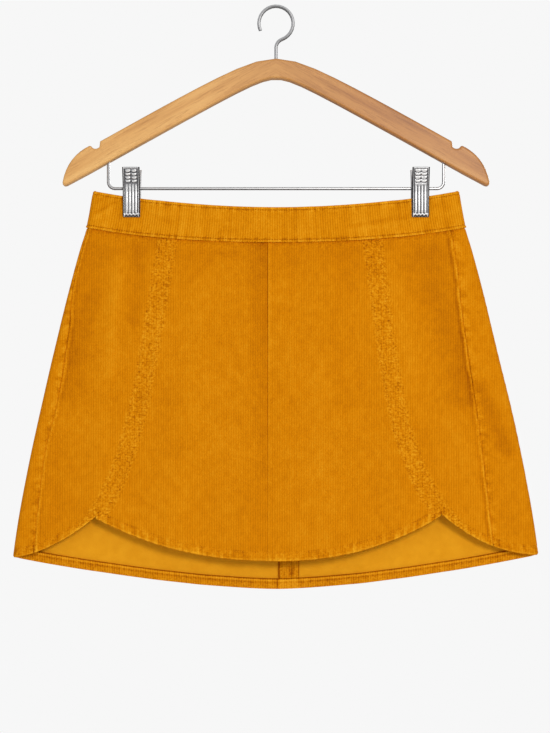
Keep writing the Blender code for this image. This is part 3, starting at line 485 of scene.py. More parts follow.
def panel_relief(sign, on_back, a, drop, cloth):
    """Heights of a panel, soft for both faces and fine for the pile, with the puckers and the painted light
    of the pile: painted highlights and shade of its folds, seams and edges, and some uneven colour.
    """
    a, drop = np.broadcast_arrays(a, drop)
    s = girth(sign, on_back, a, drop)
    on_strip = (np.abs(s) < 1.0) & on_back
    x = sign * np.where(on_strip, 2.0 * half_front(drop) - a, a)
    waist, edge = drop - waist_seam(s), hem(sign, s) - drop
    centre = np.abs(a - sign * (CENTRE_BACK_X if on_back else CENTRE_FRONT_X))
    seam = np.abs(a - (side_out_from_back if on_back else side_out)(sign, drop))
    broad = noise(a / 0.030 + 9 * sign + 30, drop / 0.060, SOFT_SEED + on_back)
    soft = cloth.softness * (2.0 * broad - 1.0)
    fine = cloth.wale_height * np.cos(2 * math.pi * a / cloth.wale_pitch) * ~on_strip
    painted_light_and_tone, pucker = np.zeros(fine.shape), np.zeros(fine.shape)
    heights = (soft, fine, painted_light_and_tone, pucker)
    if on_back:
        laid = creases(BACK_CREASES, x, drop) * ~on_strip + creases(STRIP_CREASES, x, drop) * on_strip
        mark_back_seams(sign, drop, centre, seam, heights)
    else:
        laid = creases(FRONT_CREASES, x, drop)
        mark_front_centre(sign, drop, centre, heights)
        mark_curved_seam(sign, a, drop, edge, heights, cloth)
        mark_front_side(sign, drop, seam, heights)
    soft += laid
    # Painted light and shade: creases and folds are painted lighter where they stand out and darker where
    # they sink.
    painted_light_and_tone += FOLD_PAINTED_LIGHT * (laid + 0.25 * fold_height(s, drop))
    fine -= 0.0006 * bell(seam, 0.0007)
    # Painted shade along the side seam's groove.
    painted_light_and_tone -= 0.12 * bell(seam, 0.0008)
    near_hem = mark_hem(a, edge, heights)
    gather = noise(a / 0.0048, waist / 0.0260 + 20, GATHER_SEED) - 0.5
    soft += 0.0009 * gather * smooth((0.0200 - waist) / 0.0180)
    fine -= 0.0010 * bell(waist, 0.0013)
    # Painted shade along the waist seam, and on the front a painted shadow below the waistband.
    shade = 0.0 if on_back else WAIST_SHADE
    painted_light_and_tone -= 0.20 * bell(waist, 0.0030) + shade * smooth((0.050 - waist) / 0.045)
    pucker += 0.40 * near_hem + 0.35 * smooth((0.0120 - waist) / 0.0100)
    return soft, fine, painted_light_and_tone, np.minimum(pucker, 1.0)


def band_relief(s, a, drop, cloth):
    """The same for the waistband: its pile painted lighter where its ripples and creases stand out, with
    painted highlights along both edges and painted shade along the stitching.
    """
    s, a, drop = np.broadcast_arrays(s, a, drop)
    x = cloth_points(s, drop, 0.0)[..., 0]
    top, low = drop - waist_top(s), waist_seam(s) - drop
    ease = clamp_ease(x, drop)
    ripples = noise(a / 0.0088 + 60, drop / 0.0450, BAND_SEED) - 0.5
    narrow = noise(a / 0.0034 + 200, drop / 0.0300, NARROW_SEED) - 0.5
    soft = 0.0007 * ripples + 0.0003 * narrow
    laid = creases(BAND_CREASES, x, drop) * (np.abs(s) < 1.0)
    soft += laid
    soft *= ease
    near_edge = smooth((0.0075 - top) / 0.0040) + smooth((0.0060 - low) / 0.0030)
    fine = cloth.wale_height * np.cos(2 * math.pi * a / cloth.wale_pitch)
    fine = fine + 0.0005 * narrow * near_edge * ease
    fine += 0.0006 * bell(low - 0.0012, 0.0009) - 0.0005 * bell(low - TOP_STITCH, 0.0007)
    fine -= 0.0004 * bell(top - TOP_STITCH, 0.0007) * ease
    fine -= 0.0011 * (1.0 - smooth(top / 0.0014)) + 0.0006 * (1.0 - smooth(low / 0.0005))
    painted_light_and_tone = 0.28 * ripples + 0.34 * narrow + 0.7 * narrow * near_edge + 1.6 * FOLD_PAINTED_LIGHT * laid
    painted_light_and_tone += 0.30 * bell(low - 0.0008, 0.0006) - 0.42 * bell(low - TOP_STITCH, 0.0009)
    painted_light_and_tone -= 0.30 * bell(top - TOP_STITCH, 0.0009) - 0.35 * bell(top - 0.0010, 0.0010)
    return soft, fine, painted_light_and_tone, 0.10 + 0.45 * near_edge


# ---------------------------------------------------------------- meshes
def new_object(name, data):
    """An object for a mesh, a light or a camera, in the scene."""
    obj = bpy.data.objects.new(name, data)
    bpy.context.scene.collection.objects.link(obj)
    return obj


def smoothed(mesh, sharp_angle):
    mesh.shade_smooth()
    mesh.set_sharp_from_angle(angle=math.radians(sharp_angle))
    return mesh


def row_drops(top, bottom, step):
    """Drops down each column, close together at both ends; top and bottom hold a value for each."""
    room = np.minimum((bottom - top) / (6 * EDGE_ROWS[-1]), 1.0)
    ends = np.array(EDGE_ROWS)[:, None] * room
    count = max(int(round((bottom - top).max() / step)), 2)
    middle = lerp(top + ends[-1], bottom - ends[-1], np.linspace(0.0, 1.0, count + 1)[1:-1, None])
    return np.vstack((top + ends, middle, bottom - ends[::-1]))


def column_places(start, end, step):
    """Columns a quarter of a wale apart, with closer ones beside both edges."""
    ends = np.array(EDGE_ROWS)
    margin = ends[-1] + 0.3 * step
    inner = np.arange(math.ceil((start + margin) / step), math.floor((end - margin) / step) + 1) * step
    return np.concatenate((start + ends, inner, end - ends[::-1]))


def panel_columns(sign, kind, step):
    """Columns of a panel, and the drop of each one's top and bottom end."""
    side, on_back = SIDES[sign], kind == "back"
    if kind == "front_centre":
        start, end = sign * CENTRE_FRONT_X + SEAM_GAP, abs(side.notch_x)
    elif kind == "front_side":
        start, end = curve_out(sign, WAIST_SEAM_DROP) + SEAM_GAP, side_out(sign, side.corner_drop)
    else:
        start, end = sign * CENTRE_BACK_X + SEAM_GAP, side_out_from_back(sign, side.corner_drop)
    a = column_places(start, end, step)
    top, bottom = np.full(a.shape, WAIST_SEAM_DROP), np.full(a.shape, side.corner_drop)
    for _ in range(SETTLING_STEPS):
        top = waist_seam(girth(sign, on_back, a, top)) + SEAM_GAP
        bottom = hem(sign, girth(sign, on_back, a, bottom))
    if kind == "front_centre":
        top = np.maximum(top, drop_at(a + SEAM_GAP, lambda drop: curve_out(sign, drop)))
    elif kind == "front_side":
        top = np.maximum(top, drop_at(a + SEAM_GAP, lambda drop: side_out(sign, drop)))
        curve = drop_at(a - SEAM_GAP, lambda drop: curve_out(sign, drop))
        bottom = np.where(a > abs(side.notch_x), bottom, curve)
    else:
        top = np.maximum(top, drop_at(a + SEAM_GAP, lambda drop: side_out_from_back(sign, drop)))
    keep = bottom - top > SHORTEST_COLUMN
    return a[keep], top[keep], bottom[keep]


def quads(index):
    corners = (index[:-1, :-1], index[:-1, 1:], index[1:, 1:], index[1:, :-1])
    return np.stack(corners, axis=-1).reshape(-1, 4).tolist()


def every(count, step):
    """Every few rows or columns, and always the last one."""
    picked = list(range(0, count - 1, step))
    return picked + [count - 1]


def closed_sheet(name, face, back, grain, paint, materials, coarse=4):
    """A closed piece of cloth: a fine face, a plainer one behind it, and the rim between them."""
    rows, columns = face.shape[:2]
    pick_rows, pick_columns = every(rows, coarse), every(columns, coarse)
    plain = np.ix_(pick_rows, pick_columns)
    count = rows * columns
    near = np.arange(count).reshape(rows, columns)
    far = count + np.arange(len(pick_rows) * len(pick_columns)).reshape(len(pick_rows), -1)
    faces = quads(near) + quads(far[:, ::-1])
    back_faces = range((rows - 1) * (columns - 1), len(faces))
    for k, (c, c2) in enumerate(zip(pick_columns, pick_columns[1:])):
        faces.append([*near[0, c:c2 + 1][::-1], far[0, k], far[0, k + 1]])
        faces.append([*near[-1, c:c2 + 1], far[-1, k + 1], far[-1, k]])
    for k, (r, r2) in enumerate(zip(pick_rows, pick_rows[1:])):
        faces.append([*near[r:r2 + 1, 0], far[k + 1, 0], far[k, 0]])
        faces.append([*near[r:r2 + 1, -1][::-1], far[k, -1], far[k + 1, -1]])
    r, c = rows // 2, columns // 2
    upright = np.cross(face[r, c + 1] - face[r, c], face[r + 1, c] - face[r, c])
    if np.dot(upright, face[r, c] - back[r, c]) < 0:
        faces = [corners[::-1] for corners in faces]
    points = np.concatenate((face.reshape(-1, 3), back[plain].reshape(-1, 3)))
    mesh = bpy.data.meshes.new(name)
    mesh.from_pydata(points.tolist(), [], faces)
    for material in materials:
        mesh.materials.append(material)
    if len(materials) > 1:
        slots = np.zeros(len(faces), np.int32)
        slots[back_faces.start:back_faces.stop] = 1
        mesh.polygons.foreach_set("material_index", slots)
    places = np.concatenate((grain.reshape(-1, 2), grain[plain].reshape(-1, 2)))
    corners = np.empty(len(mesh.loops), np.int32)
    mesh.loops.foreach_get("vertex_index", corners)
    mesh.uv_layers.new(name="Grain").data.foreach_set("uv", places[corners].astype(np.float32).ravel())
    for label, values in paint.items():
        on_face = np.broadcast_to(values, face.shape[:2]).ravel()
        values = np.concatenate((on_face, np.zeros(len(points) - count)))
        mesh.attributes.new(label, "FLOAT", "POINT").data.foreach_set("value", values.astype(np.float32))
    return new_object(name, smoothed(mesh, 70))


def declare(obj, solid):
    """Attach a cloth piece to the root and hide the solid that it stands for."""
    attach(obj, "root")
    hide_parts(solid)
    return obj


def tube(name, points, radius, material, sides):
    """A round wire through the points, closed at both ends."""
    points = [Vector(p) for p in points]
    verts, faces = [], []
    side = None
    for i, point in enumerate(points):
        ahead = (points[min(i + 1, len(points) - 1)] - points[max(i - 1, 0)]).normalized()
        if side is None:
            side = ahead.orthogonal()
        side = (side - ahead * side.dot(ahead)).normalized()
        up = ahead.cross(side)
        for k in range(sides):
            angle = 2 * math.pi * k / sides
            verts.append(point + radius * (side * math.cos(angle) + up * math.sin(angle)))
    for i in range(len(points) - 1):
        for k in range(sides):
            k2 = (k + 1) % sides
            faces.append([i * sides + k, i * sides + k2, (i + 1) * sides + k2, (i + 1) * sides + k])
    faces.append(list(range(sides))[::-1])
    faces.append([len(verts) - sides + k for k in range(sides)])
    mesh = bpy.data.meshes.new(name)
    mesh.from_pydata([tuple(v) for v in verts], [], faces)
    mesh.materials.append(material)
    return new_object(name, smoothed(mesh, 60))


def grid_sheet(name, place, drop, heights, plain_heights, pitch, materials, facing=1):
    """A closed piece of cloth from girth positions and drops; facing -1 turns its pile inwards."""
    along, s = place
    soft, fine, painted_light_and_tone, pucker = heights
    near, far = plain_heights
    face = cloth_points(s, drop, soft + near + facing * fine)
    back = cloth_points(s, drop, soft + far)
    grain = np.stack(np.broadcast_arrays(along, drop), axis=-1) / pitch
    return closed_sheet(name, face, back, grain, {"painted_light_and_tone": painted_light_and_tone, "pucker": pucker}, materials)


# ---------------------------------------------------------------- materials
def link(tree, source, target):
    tree.links.new(source, target)


def node(tree, kind, inputs=None, **settings):
    """A shader node with its settings, and constants or links for its inputs."""
    made = tree.nodes.new(kind)
    for name, value in settings.items():
        setattr(made, name, value)
    for name, value in (inputs or {}).items():
        socket = made.inputs[name]
        if isinstance(value, bpy.types.NodeSocket):
            tree.links.new(value, socket)
        else:
            socket.default_value = value
    return made


def maths(tree, operation, a, b=0.0, c=0.0, clamp=False):
    made = node(tree, "ShaderNodeMath", {0: a, 1: b, 2: c}, operation=operation, use_clamp=clamp)
    return made.outputs[0]


def ramp(tree, factor, stops):
    """A colour or value that changes with a factor; stops are (place, colour)."""
    made = node(tree, "ShaderNodeValToRGB", {"Fac": factor})
    elements = made.color_ramp.elements
    while len(elements) < len(stops):
        elements.new(0.5)
    for element, (place, colour) in zip(elements, stops):
        element.position = place
        element.color = (*colour, 1.0) if len(colour) == 3 else colour
    return made.outputs["Color"]


def mix(tree, factor, a, b, blend_type="MIX"):
    made = node(tree, "ShaderNodeMix", data_type="RGBA", blend_type=blend_type)
    for socket, value in ((made.inputs[0], factor), (made.inputs[6], a), (made.inputs[7], b)):
        if isinstance(value, bpy.types.NodeSocket):
            tree.links.new(value, socket)
        elif isinstance(value, tuple):
            socket.default_value = (*value, 1.0)
        else:
            socket.default_value = value
    return made.outputs[2]


def noise_value(tree, vector, scale, detail=2.0, rough=0.5):
    made = node(tree, "ShaderNodeTexNoise",
                {"Vector": vector, "Scale": scale, "Detail": detail, "Roughness": rough})
    return made.outputs["Fac"]


def object_place(tree):
    """Where a point is on the object."""
    return node(tree, "ShaderNodeTexCoord").outputs["Object"]


def painted_value(tree, name):
    """A value that the mesh holds at each of its points."""
    made = node(tree, "ShaderNodeAttribute", attribute_name=name, attribute_type="GEOMETRY")
    return made.outputs["Fac"]


def upward(tree):
    """How far up the surface faces, 0 to 1, with 0.5 for an upright one."""
    facing = node(tree, "ShaderNodeNewGeometry").outputs["Normal"]
    parts = node(tree, "ShaderNodeSeparateXYZ", {0: facing})
    return maths(tree, "MULTIPLY_ADD", parts.outputs[2], 0.5, 0.5)


def bump_shader(tree, shader, height, strength, distance):
    """Fine relief from a height that changes over the surface."""
    bump = node(tree, "ShaderNodeBump", {"Height": height, "Strength": strength, "Distance": distance})
    link(tree, bump.outputs[0], shader.inputs["Normal"])


def new_material(name, colour, roughness, **constants):
    """A material and its tree; the constants go straight on the shader."""
    made = bpy.data.materials.new(name)
    made.use_nodes = True
    made.diffuse_color = (*colour, 1.0)
    shader = made.node_tree.nodes["Principled BSDF"]
    shader.inputs["Base Color"].default_value = (*colour, 1.0)
    shader.inputs["Roughness"].default_value = roughness
    for key, value in constants.items():
        socket = shader.inputs[key.replace("_", " ")]
        socket.default_value = (*value, 1.0) if isinstance(value, tuple) else value
    return made, made.node_tree, shader


def group(name, outputs):
    """A new shader node group that gives plain values; outputs holds (name, socket type)."""
    made = bpy.data.node_groups.new(name, "ShaderNodeTree")
    for label, kind in outputs:
        made.interface.new_socket(label, in_out="OUTPUT", socket_type=kind)
    return made, made.nodes.new("NodeGroupOutput")


def wale_group():
    """Ridges of the pile, its uneven fuzz, broad and small patches, and the painted light and puckering
    that the mesh holds.
    """
    tree, out = group("Corduroy Wales", [(label, "NodeSocketFloat") for label in
                                         ("Ridge", "Fuzz", "Patch", "Speckle", "Painted_light_and_tone", "Pucker")])
    grain = node(tree, "ShaderNodeUVMap", uv_map="Grain").outputs["UV"]
    place = object_place(tree)
    parts = node(tree, "ShaderNodeSeparateXYZ", {0: grain})
    wale = maths(tree, "FLOOR", maths(tree, "ADD", parts.outputs[0], 0.5))
    cosine = maths(tree, "COSINE", maths(tree, "MULTIPLY", parts.outputs[0], 2 * math.pi))
    link(tree, maths(tree, "MULTIPLY_ADD", cosine, 0.5, 0.5), out.inputs["Ridge"])
    stretched = maths(tree, "MULTIPLY", parts.outputs[1], 0.16)
    streak_place = node(tree, "ShaderNodeCombineXYZ", {0: wale, 1: stretched})
    streak = noise_value(tree, streak_place.outputs[0], 1.7, 2.0, 0.6)
    clumps = noise_value(tree, grain, 1.5, 3.0, 0.7)
    fuzz = maths(tree, "ADD", maths(tree, "MULTIPLY", streak, 0.35), maths(tree, "MULTIPLY", clumps, 0.65))
    link(tree, fuzz, out.inputs["Fuzz"])
    broad, small = noise_value(tree, place, 24.0, 3.0, 0.55), noise_value(tree, place, 110.0, 3.0, 0.6)
    patch = maths(tree, "ADD", maths(tree, "MULTIPLY", broad, 0.3), maths(tree, "MULTIPLY", small, 0.7))
    link(tree, patch, out.inputs["Patch"])
    squat = node(tree, "ShaderNodeVectorMath", {0: place, 1: (1.0, 1.0, 1.35)}, operation="MULTIPLY")
    link(tree, noise_value(tree, squat.outputs[0], 400.0, 2.0, 0.6), out.inputs["Speckle"])
    for label in ("Painted_light_and_tone", "Pucker"):
        link(tree, painted_value(tree, label.lower()), out.inputs[label])
    return tree


def weighted(tree, terms, start):
    """A start value plus each (value, weight), the values being counted from their middle, 0.5."""
    total = start - sum(weight for _, weight in terms) / 2
    for value, weight in terms:
        total = maths(tree, "MULTIPLY_ADD", value, weight, total)
    return total


def corduroy_material(name, wales, deep, body, light, ribs):
    """Cut pile in wales, its colour running from deep through body to light: uneven fuzz and patches,
    painted shade between the wales, and the painted highlights and shade that the mesh holds.
    """
    made, tree, shader = new_material(name, body, 0.95, Sheen_Weight=0.03, Sheen_Roughness=0.5,
                                      Sheen_Tint=light, Specular_IOR_Level=0.04)
    pile = node(tree, "ShaderNodeGroup", node_tree=wales).outputs
    puckered = maths(tree, "MULTIPLY", maths(tree, "SUBTRACT", pile["Speckle"], 0.49), pile["Pucker"])
    # The ridges' weight, ribs, paints the pile darker between the wales: painted shade in the grooves.
    level = weighted(tree, ((pile["Ridge"], ribs), (pile["Fuzz"], 0.70), (pile["Patch"], 0.42)), 0.45)
    # Where the cloth puckers, the colour follows the crumpled bump: painted highlights on its crests,
    # painted shade in its dips.
    level = maths(tree, "MULTIPLY_ADD", puckered, 1.7, level)
    level = maths(tree, "MULTIPLY_ADD", pile["Pucker"], 0.02, level)
    # The painted highlights and shade that the mesh holds, with some uneven colour.
    level = maths(tree, "MULTIPLY_ADD", pile["Painted_light_and_tone"], 0.42, level, clamp=True)
    colour = ramp(tree, level, ((0.0, deep), (0.45, body), (1.0, light)))
    link(tree, colour, shader.inputs["Base Color"])
    height = weighted(tree, ((pile["Ridge"], 0.4), (pile["Fuzz"], 1.0)), 0.5)
    bump = node(tree, "ShaderNodeBump", {"Height": height, "Strength": 0.35, "Distance": 0.0003})
    crumple = node(tree, "ShaderNodeBump", {"Height": puckered, "Strength": 0.6, "Distance": 0.0014,
                                            "Normal": bump.outputs[0]})
    link(tree, crumple.outputs[0], shader.inputs["Normal"])
    return made


def woven_material(name, colour, light, threads, roughness=0.88):
    """A plain smooth weave: the wrong side of the cloth, or a tape."""
    made, tree, shader = new_material(name, colour, roughness, Sheen_Weight=0.02, Specular_IOR_Level=0.05)
    place = object_place(tree)
    parts = node(tree, "ShaderNodeSeparateXYZ", {0: place})
    across = maths(tree, "SINE", maths(tree, "MULTIPLY", parts.outputs[0], threads))
    along = maths(tree, "SINE", maths(tree, "MULTIPLY", parts.outputs[2], threads))
    weave = maths(tree, "MULTIPLY_ADD", maths(tree, "MULTIPLY", across, along), 0.5, 0.5)
    patch = noise_value(tree, place, 90.0, 4.0, 0.6)
    level = maths(tree, "ADD", maths(tree, "MULTIPLY", weave, 0.35), maths(tree, "MULTIPLY", patch, 0.65))
    link(tree, ramp(tree, level, ((0.25, colour), (0.80, light))), shader.inputs["Base Color"])
    bump_shader(tree, shader, level, 0.3, 0.0002)
    return made


def thread_material(name, colour, light):
    made, tree, shader = new_material(name, colour, 0.8, Specular_IOR_Level=0.04)
    place = object_place(tree)
    twist = noise_value(tree, place, 1400.0, 2.0)
    link(tree, mix(tree, twist, colour, light), shader.inputs["Base Color"])
    bump_shader(tree, shader, twist, 0.3, 0.0001)
    return made


def metal_material(name, colour, roughness, underside_shade):
    """Plated metal with faint scuffs, its underside painted darker, down to a share of its colour, as a
    painted reflection of the darker surroundings below.
    """
    made, tree, shader = new_material(name, colour, roughness, Metallic=1.0)
    place = object_place(tree)
    scuffs = noise_value(tree, place, 260.0, 4.0, 0.6)
    spread = maths(tree, "MULTIPLY_ADD", scuffs, 0.16, roughness - 0.06)
    link(tree, spread, shader.inputs["Roughness"])
    plate = mix(tree, scuffs, tuple(c * 0.9 for c in colour), colour)
    # Painted reflection: faces that turn downwards are painted darker, for the darker surroundings below.
    painted_underside_shade = ramp(tree, upward(tree), ((0.30, (underside_shade, underside_shade, underside_shade)), (0.56, (1.0, 1.0, 1.0))))
    link(tree, mix(tree, 1.0, plate, painted_underside_shade, "MULTIPLY"), shader.inputs["Base Color"])
    bump_shader(tree, shader, noise_value(tree, place, 120.0, 2.0), 0.06, 0.0003)
    return made


def pressed_material(name):
    """Plated metal with painted shade in its hollows and painted highlights on its crests, both painted on
    the mesh.
    """
    made, tree, shader = new_material(name, (0.5, 0.5, 0.5), 0.45, Metallic=0.9)
    painted = painted_value(tree, "painted_light_and_tone")
    place = object_place(tree)
    scuffs = noise_value(tree, place, 700.0, 3.0, 0.6)
    level = weighted(tree, ((painted, 1.0), (scuffs, 0.35)), 0.5)
    grey = ramp(tree, level, ((0.0, (0.008, 0.008, 0.010)), (0.35, (0.13, 0.13, 0.14)),
                              (0.70, (0.54, 0.54, 0.55)), (1.0, (0.76, 0.76, 0.76))))
    link(tree, grey, shader.inputs["Base Color"])
    bump_shader(tree, shader, scuffs, 0.10, 0.0002)
    return made


def wood_material(name, slope):
    """Pale varnished wood whose grain follows both arms down from the middle."""
    made, tree, shader = new_material(name, (0.68, 0.38, 0.14), 0.50, Coat_Weight=0.06, Coat_Roughness=0.30)
    place = object_place(tree)
    parts = node(tree, "ShaderNodeSeparateXYZ", {0: place})
    outward = maths(tree, "ABSOLUTE", parts.outputs[0])
    c, s = math.cos(slope), math.sin(slope)
    along = maths(tree, "SUBTRACT", maths(tree, "MULTIPLY", outward, c),
                  maths(tree, "MULTIPLY", parts.outputs[2], s))
    across = maths(tree, "ADD", maths(tree, "MULTIPLY", outward, s),
                   maths(tree, "MULTIPLY", parts.outputs[2], c))
    board = node(tree, "ShaderNodeCombineXYZ", {0: maths(tree, "MULTIPLY", along, 0.06), 1: across,
                                                2: parts.outputs[1]}).outputs[0]
    figure = noise_value(tree, board, 170.0, 4.0, 0.6)
    pores = noise_value(tree, board, 900.0, 3.0, 0.6)
    broad = noise_value(tree, board, 45.0, 2.0)
    level = maths(tree, "ADD", maths(tree, "MULTIPLY", figure, 0.5), maths(tree, "MULTIPLY", broad, 0.5))
    pale = ramp(tree, level, ((0.28, (0.46, 0.190, 0.038)), (0.46, (0.69, 0.355, 0.100)),
                              (0.70, (0.83, 0.490, 0.165))))
    ruddy = ramp(tree, level, ((0.30, (0.26, 0.080, 0.009)), (0.48, (0.47, 0.190, 0.038)),
                               (0.72, (0.62, 0.300, 0.078))))
    base = mix(tree, maths(tree, "MULTIPLY_ADD", parts.outputs[0], 6.0, 0.5, clamp=True), pale, ruddy)
    dark = ramp(tree, pores, ((0.34, (0.70, 0.60, 0.48)), (0.46, (1.0, 1.0, 1.0))))
    grained = mix(tree, 0.7, base, dark, "MULTIPLY")
    # Painted shade: faces that turn well down, and those that turn well up, are painted darker.
    painted_facing_shade = ramp(tree, upward(tree), ((0.05, (0.80, 0.78, 0.75)), (0.40, (1.0, 1.0, 1.0)),
                                       (0.60, (1.0, 1.0, 1.0)), (0.85, (0.84, 0.78, 0.70))))
    link(tree, mix(tree, 1.0, grained, painted_facing_shade, "MULTIPLY"), shader.inputs["Base Color"])
    bump_shader(tree, shader, pores, 0.12, 0.0003)
    return made


def floor_material():
    """Pale paper, a little brighter to the camera than the light alone makes it."""
    made, tree, shader = new_material("Pale floor", (0.93, 0.92, 0.91), 0.8, Emission_Strength=0.35)
    seen = node(tree, "ShaderNodeLightPath").outputs["Is Camera Ray"]
    link(tree, mix(tree, seen, (0.0, 0.0, 0.0), (0.93, 0.93, 0.93)), shader.inputs["Emission Color"])
    place = object_place(tree)
    link(tree, mix(tree, noise_value(tree, place, 3.0), (0.92, 0.91, 0.90), (0.95, 0.94, 0.93)),
         shader.inputs["Base Color"])
    return made


MATERIALS = {}


def make_materials():
    """Every finish, kept by a short name."""
    wales = wale_group()
    MATERIALS.update({
        "body": corduroy_material("Mustard corduroy", wales, (0.34, 0.086, 0.0005), (0.635, 0.208, 0.0008),
                                  (0.86, 0.39, 0.014), 0.13),
        "band": corduroy_material("Mustard corduroy waistband", wales, (0.36, 0.095, 0.0005),
                                  (0.655, 0.226, 0.0010), (0.88, 0.41, 0.018), 0.22),
        "hem": corduroy_material("Mustard corduroy turned in", wales, (0.34, 0.086, 0.0010),
                                 (0.64, 0.215, 0.0015), (0.86, 0.38, 0.014), 0.25),
        "reverse": woven_material("Smooth wrong side", (0.70, 0.275, 0.006), (0.83, 0.37, 0.014), 5200.0),
        "tape": woven_material("Zip tape weave", (0.58, 0.21, 0.010), (0.70, 0.29, 0.020), 7000.0),
        # The darker thread stands for the same thread as the pale one: painted shade where the waistband's
        # stitches sink into the pile.
        "thread": thread_material("Mustard thread", (0.34, 0.095, 0.001), (0.48, 0.145, 0.002)),
        "pale_thread": thread_material("Pale mustard thread", (0.66, 0.235, 0.002), (0.78, 0.31, 0.005)),
        "coil": thread_material("Mustard zip coil", (0.60, 0.23, 0.012), (0.74, 0.34, 0.030)),
        "zip_metal": metal_material("Zip metal", (0.66, 0.64, 0.60), 0.30, 1.0),
        "chrome": metal_material("Chrome plate", (0.56, 0.56, 0.57), 0.42, 0.30),
        "pressed": pressed_material("Pressed chrome plate"),
        "wood": wood_material("Varnished wood", math.atan(0.565)),
    })


# ---------------------------------------------------------------- stitches and zip teeth
def repeat_group(name):
    """Geometry nodes that set a small solid at even steps along lines, turned to follow them."""
    tree = bpy.data.node_groups.new(name, "GeometryNodeTree")
    face = tree.interface
    face.new_socket("Lines", in_out="INPUT", socket_type="NodeSocketGeometry")
    for label, value in (("Spacing", 0.0026), ("Length", 0.0019), ("Width", 0.0006), ("Height", 0.0005)):
        socket = face.new_socket(label, in_out="INPUT", socket_type="NodeSocketFloat")
        socket.default_value, socket.min_value, socket.subtype = value, 0.00005, "DISTANCE"
    socket = face.new_socket("Unevenness", in_out="INPUT", socket_type="NodeSocketFloat")
    socket.default_value, socket.min_value, socket.max_value = 0.15, 0.0, 1.0
    face.new_socket("Seed", in_out="INPUT", socket_type="NodeSocketInt").default_value = 7
    face.new_socket("Material", in_out="INPUT", socket_type="NodeSocketMaterial")
    face.new_socket("Solid", in_out="OUTPUT", socket_type="NodeSocketGeometry")
    given = tree.nodes.new("NodeGroupInput").outputs
    out = tree.nodes.new("NodeGroupOutput")
    curve = node(tree, "GeometryNodeMeshToCurve", {"Mesh": given["Lines"]})
    spaced = node(tree, "GeometryNodeResampleCurve",
                  {"Curve": curve.outputs[0], "Length": given["Spacing"]}, mode="LENGTH")
    bead = node(tree, "GeometryNodeMeshUVSphere", {"Segments": 6, "Rings": 4, "Radius": 0.5})
    tangent = node(tree, "GeometryNodeInputTangent")
    turn = node(tree, "FunctionNodeAlignEulerToVector", {"Vector": tangent.outputs[0]}, axis="Z")
    size = node(tree, "ShaderNodeCombineXYZ", {0: given["Width"], 1: given["Height"], 2: given["Length"]})
    low = maths(tree, "SUBTRACT", 1.0, given["Unevenness"])
    high = maths(tree, "ADD", 1.0, given["Unevenness"])
    vary = node(tree, "FunctionNodeRandomValue", {"Seed": given["Seed"]}, data_type="FLOAT")
    tree.links.new(low, vary.inputs[2])
    tree.links.new(high, vary.inputs[3])
    scale = node(tree, "ShaderNodeVectorMath", {0: size.outputs[0]}, operation="SCALE")
    tree.links.new(vary.outputs[1], scale.inputs["Scale"])
    placed = node(tree, "GeometryNodeInstanceOnPoints", {
        "Points": spaced.outputs[0], "Instance": bead.outputs[0], "Rotation": turn.outputs[0],
        "Scale": scale.outputs[0]})
    real = node(tree, "GeometryNodeRealizeInstances", {"Geometry": placed.outputs[0]})
    painted = node(tree, "GeometryNodeSetMaterial", {"Geometry": real.outputs[0]})
    tree.links.new(given["Material"], painted.inputs["Material"])
    tree.links.new(painted.outputs[0], out.inputs["Solid"])
    return tree


def repeated(name, lines, tree, material, **sizes):
    """A mesh of small solids set along lines, which are arrays of points."""
    mesh = bpy.data.meshes.new(name + "_lines")
    points, edges = [], []
    for line in lines:
        first = len(points)
        points += [tuple(p) for p in line]
        edges += [(k, k + 1) for k in range(first, len(points) - 1)]
    mesh.from_pydata(points, edges, [])
    guide = new_object(name + "_lines", mesh)
    modifier = guide.modifiers.new("Repeat", "NODES")
    sockets = {item.name: item.identifier for item in tree.interface.items_tree if item.in_out == "INPUT"}
    for label, value in {"Material": material, **sizes}.items():
        modifier[sockets[label]] = value
    modifier.node_group = tree
    for label, value in {"Material": material, **sizes}.items():
        modifier[sockets[label]] = value
    bpy.context.view_layer.update()
    made = bpy.data.meshes.new_from_object(guide.evaluated_get(bpy.context.evaluated_depsgraph_get()))
    made.name = name
    guide.modifiers.clear()
    bpy.data.objects.remove(guide)
    made.shade_smooth()
    return new_object(name, made)


def runs(points, keep):
    """The unbroken runs of the points that are kept."""
    found, current = [], []
    for point, wanted in zip(points, keep):
        if wanted:
            current.append(point)
        elif len(current) > 2:
            found.append(current)
            current = []
        else:
            current = []
    return found + ([current] if len(current) > 2 else [])


def line_on_panel(sign, on_back, a, drop, cloth, keep):
    """Lines that follow a panel's relief, a little above it."""
    soft, fine = panel_relief(sign, on_back, a, drop, cloth)[:2]
    points = cloth_points(girth(sign, on_back, a, drop), drop, soft + fine + THREAD_LIFT)
    return runs(points, keep)


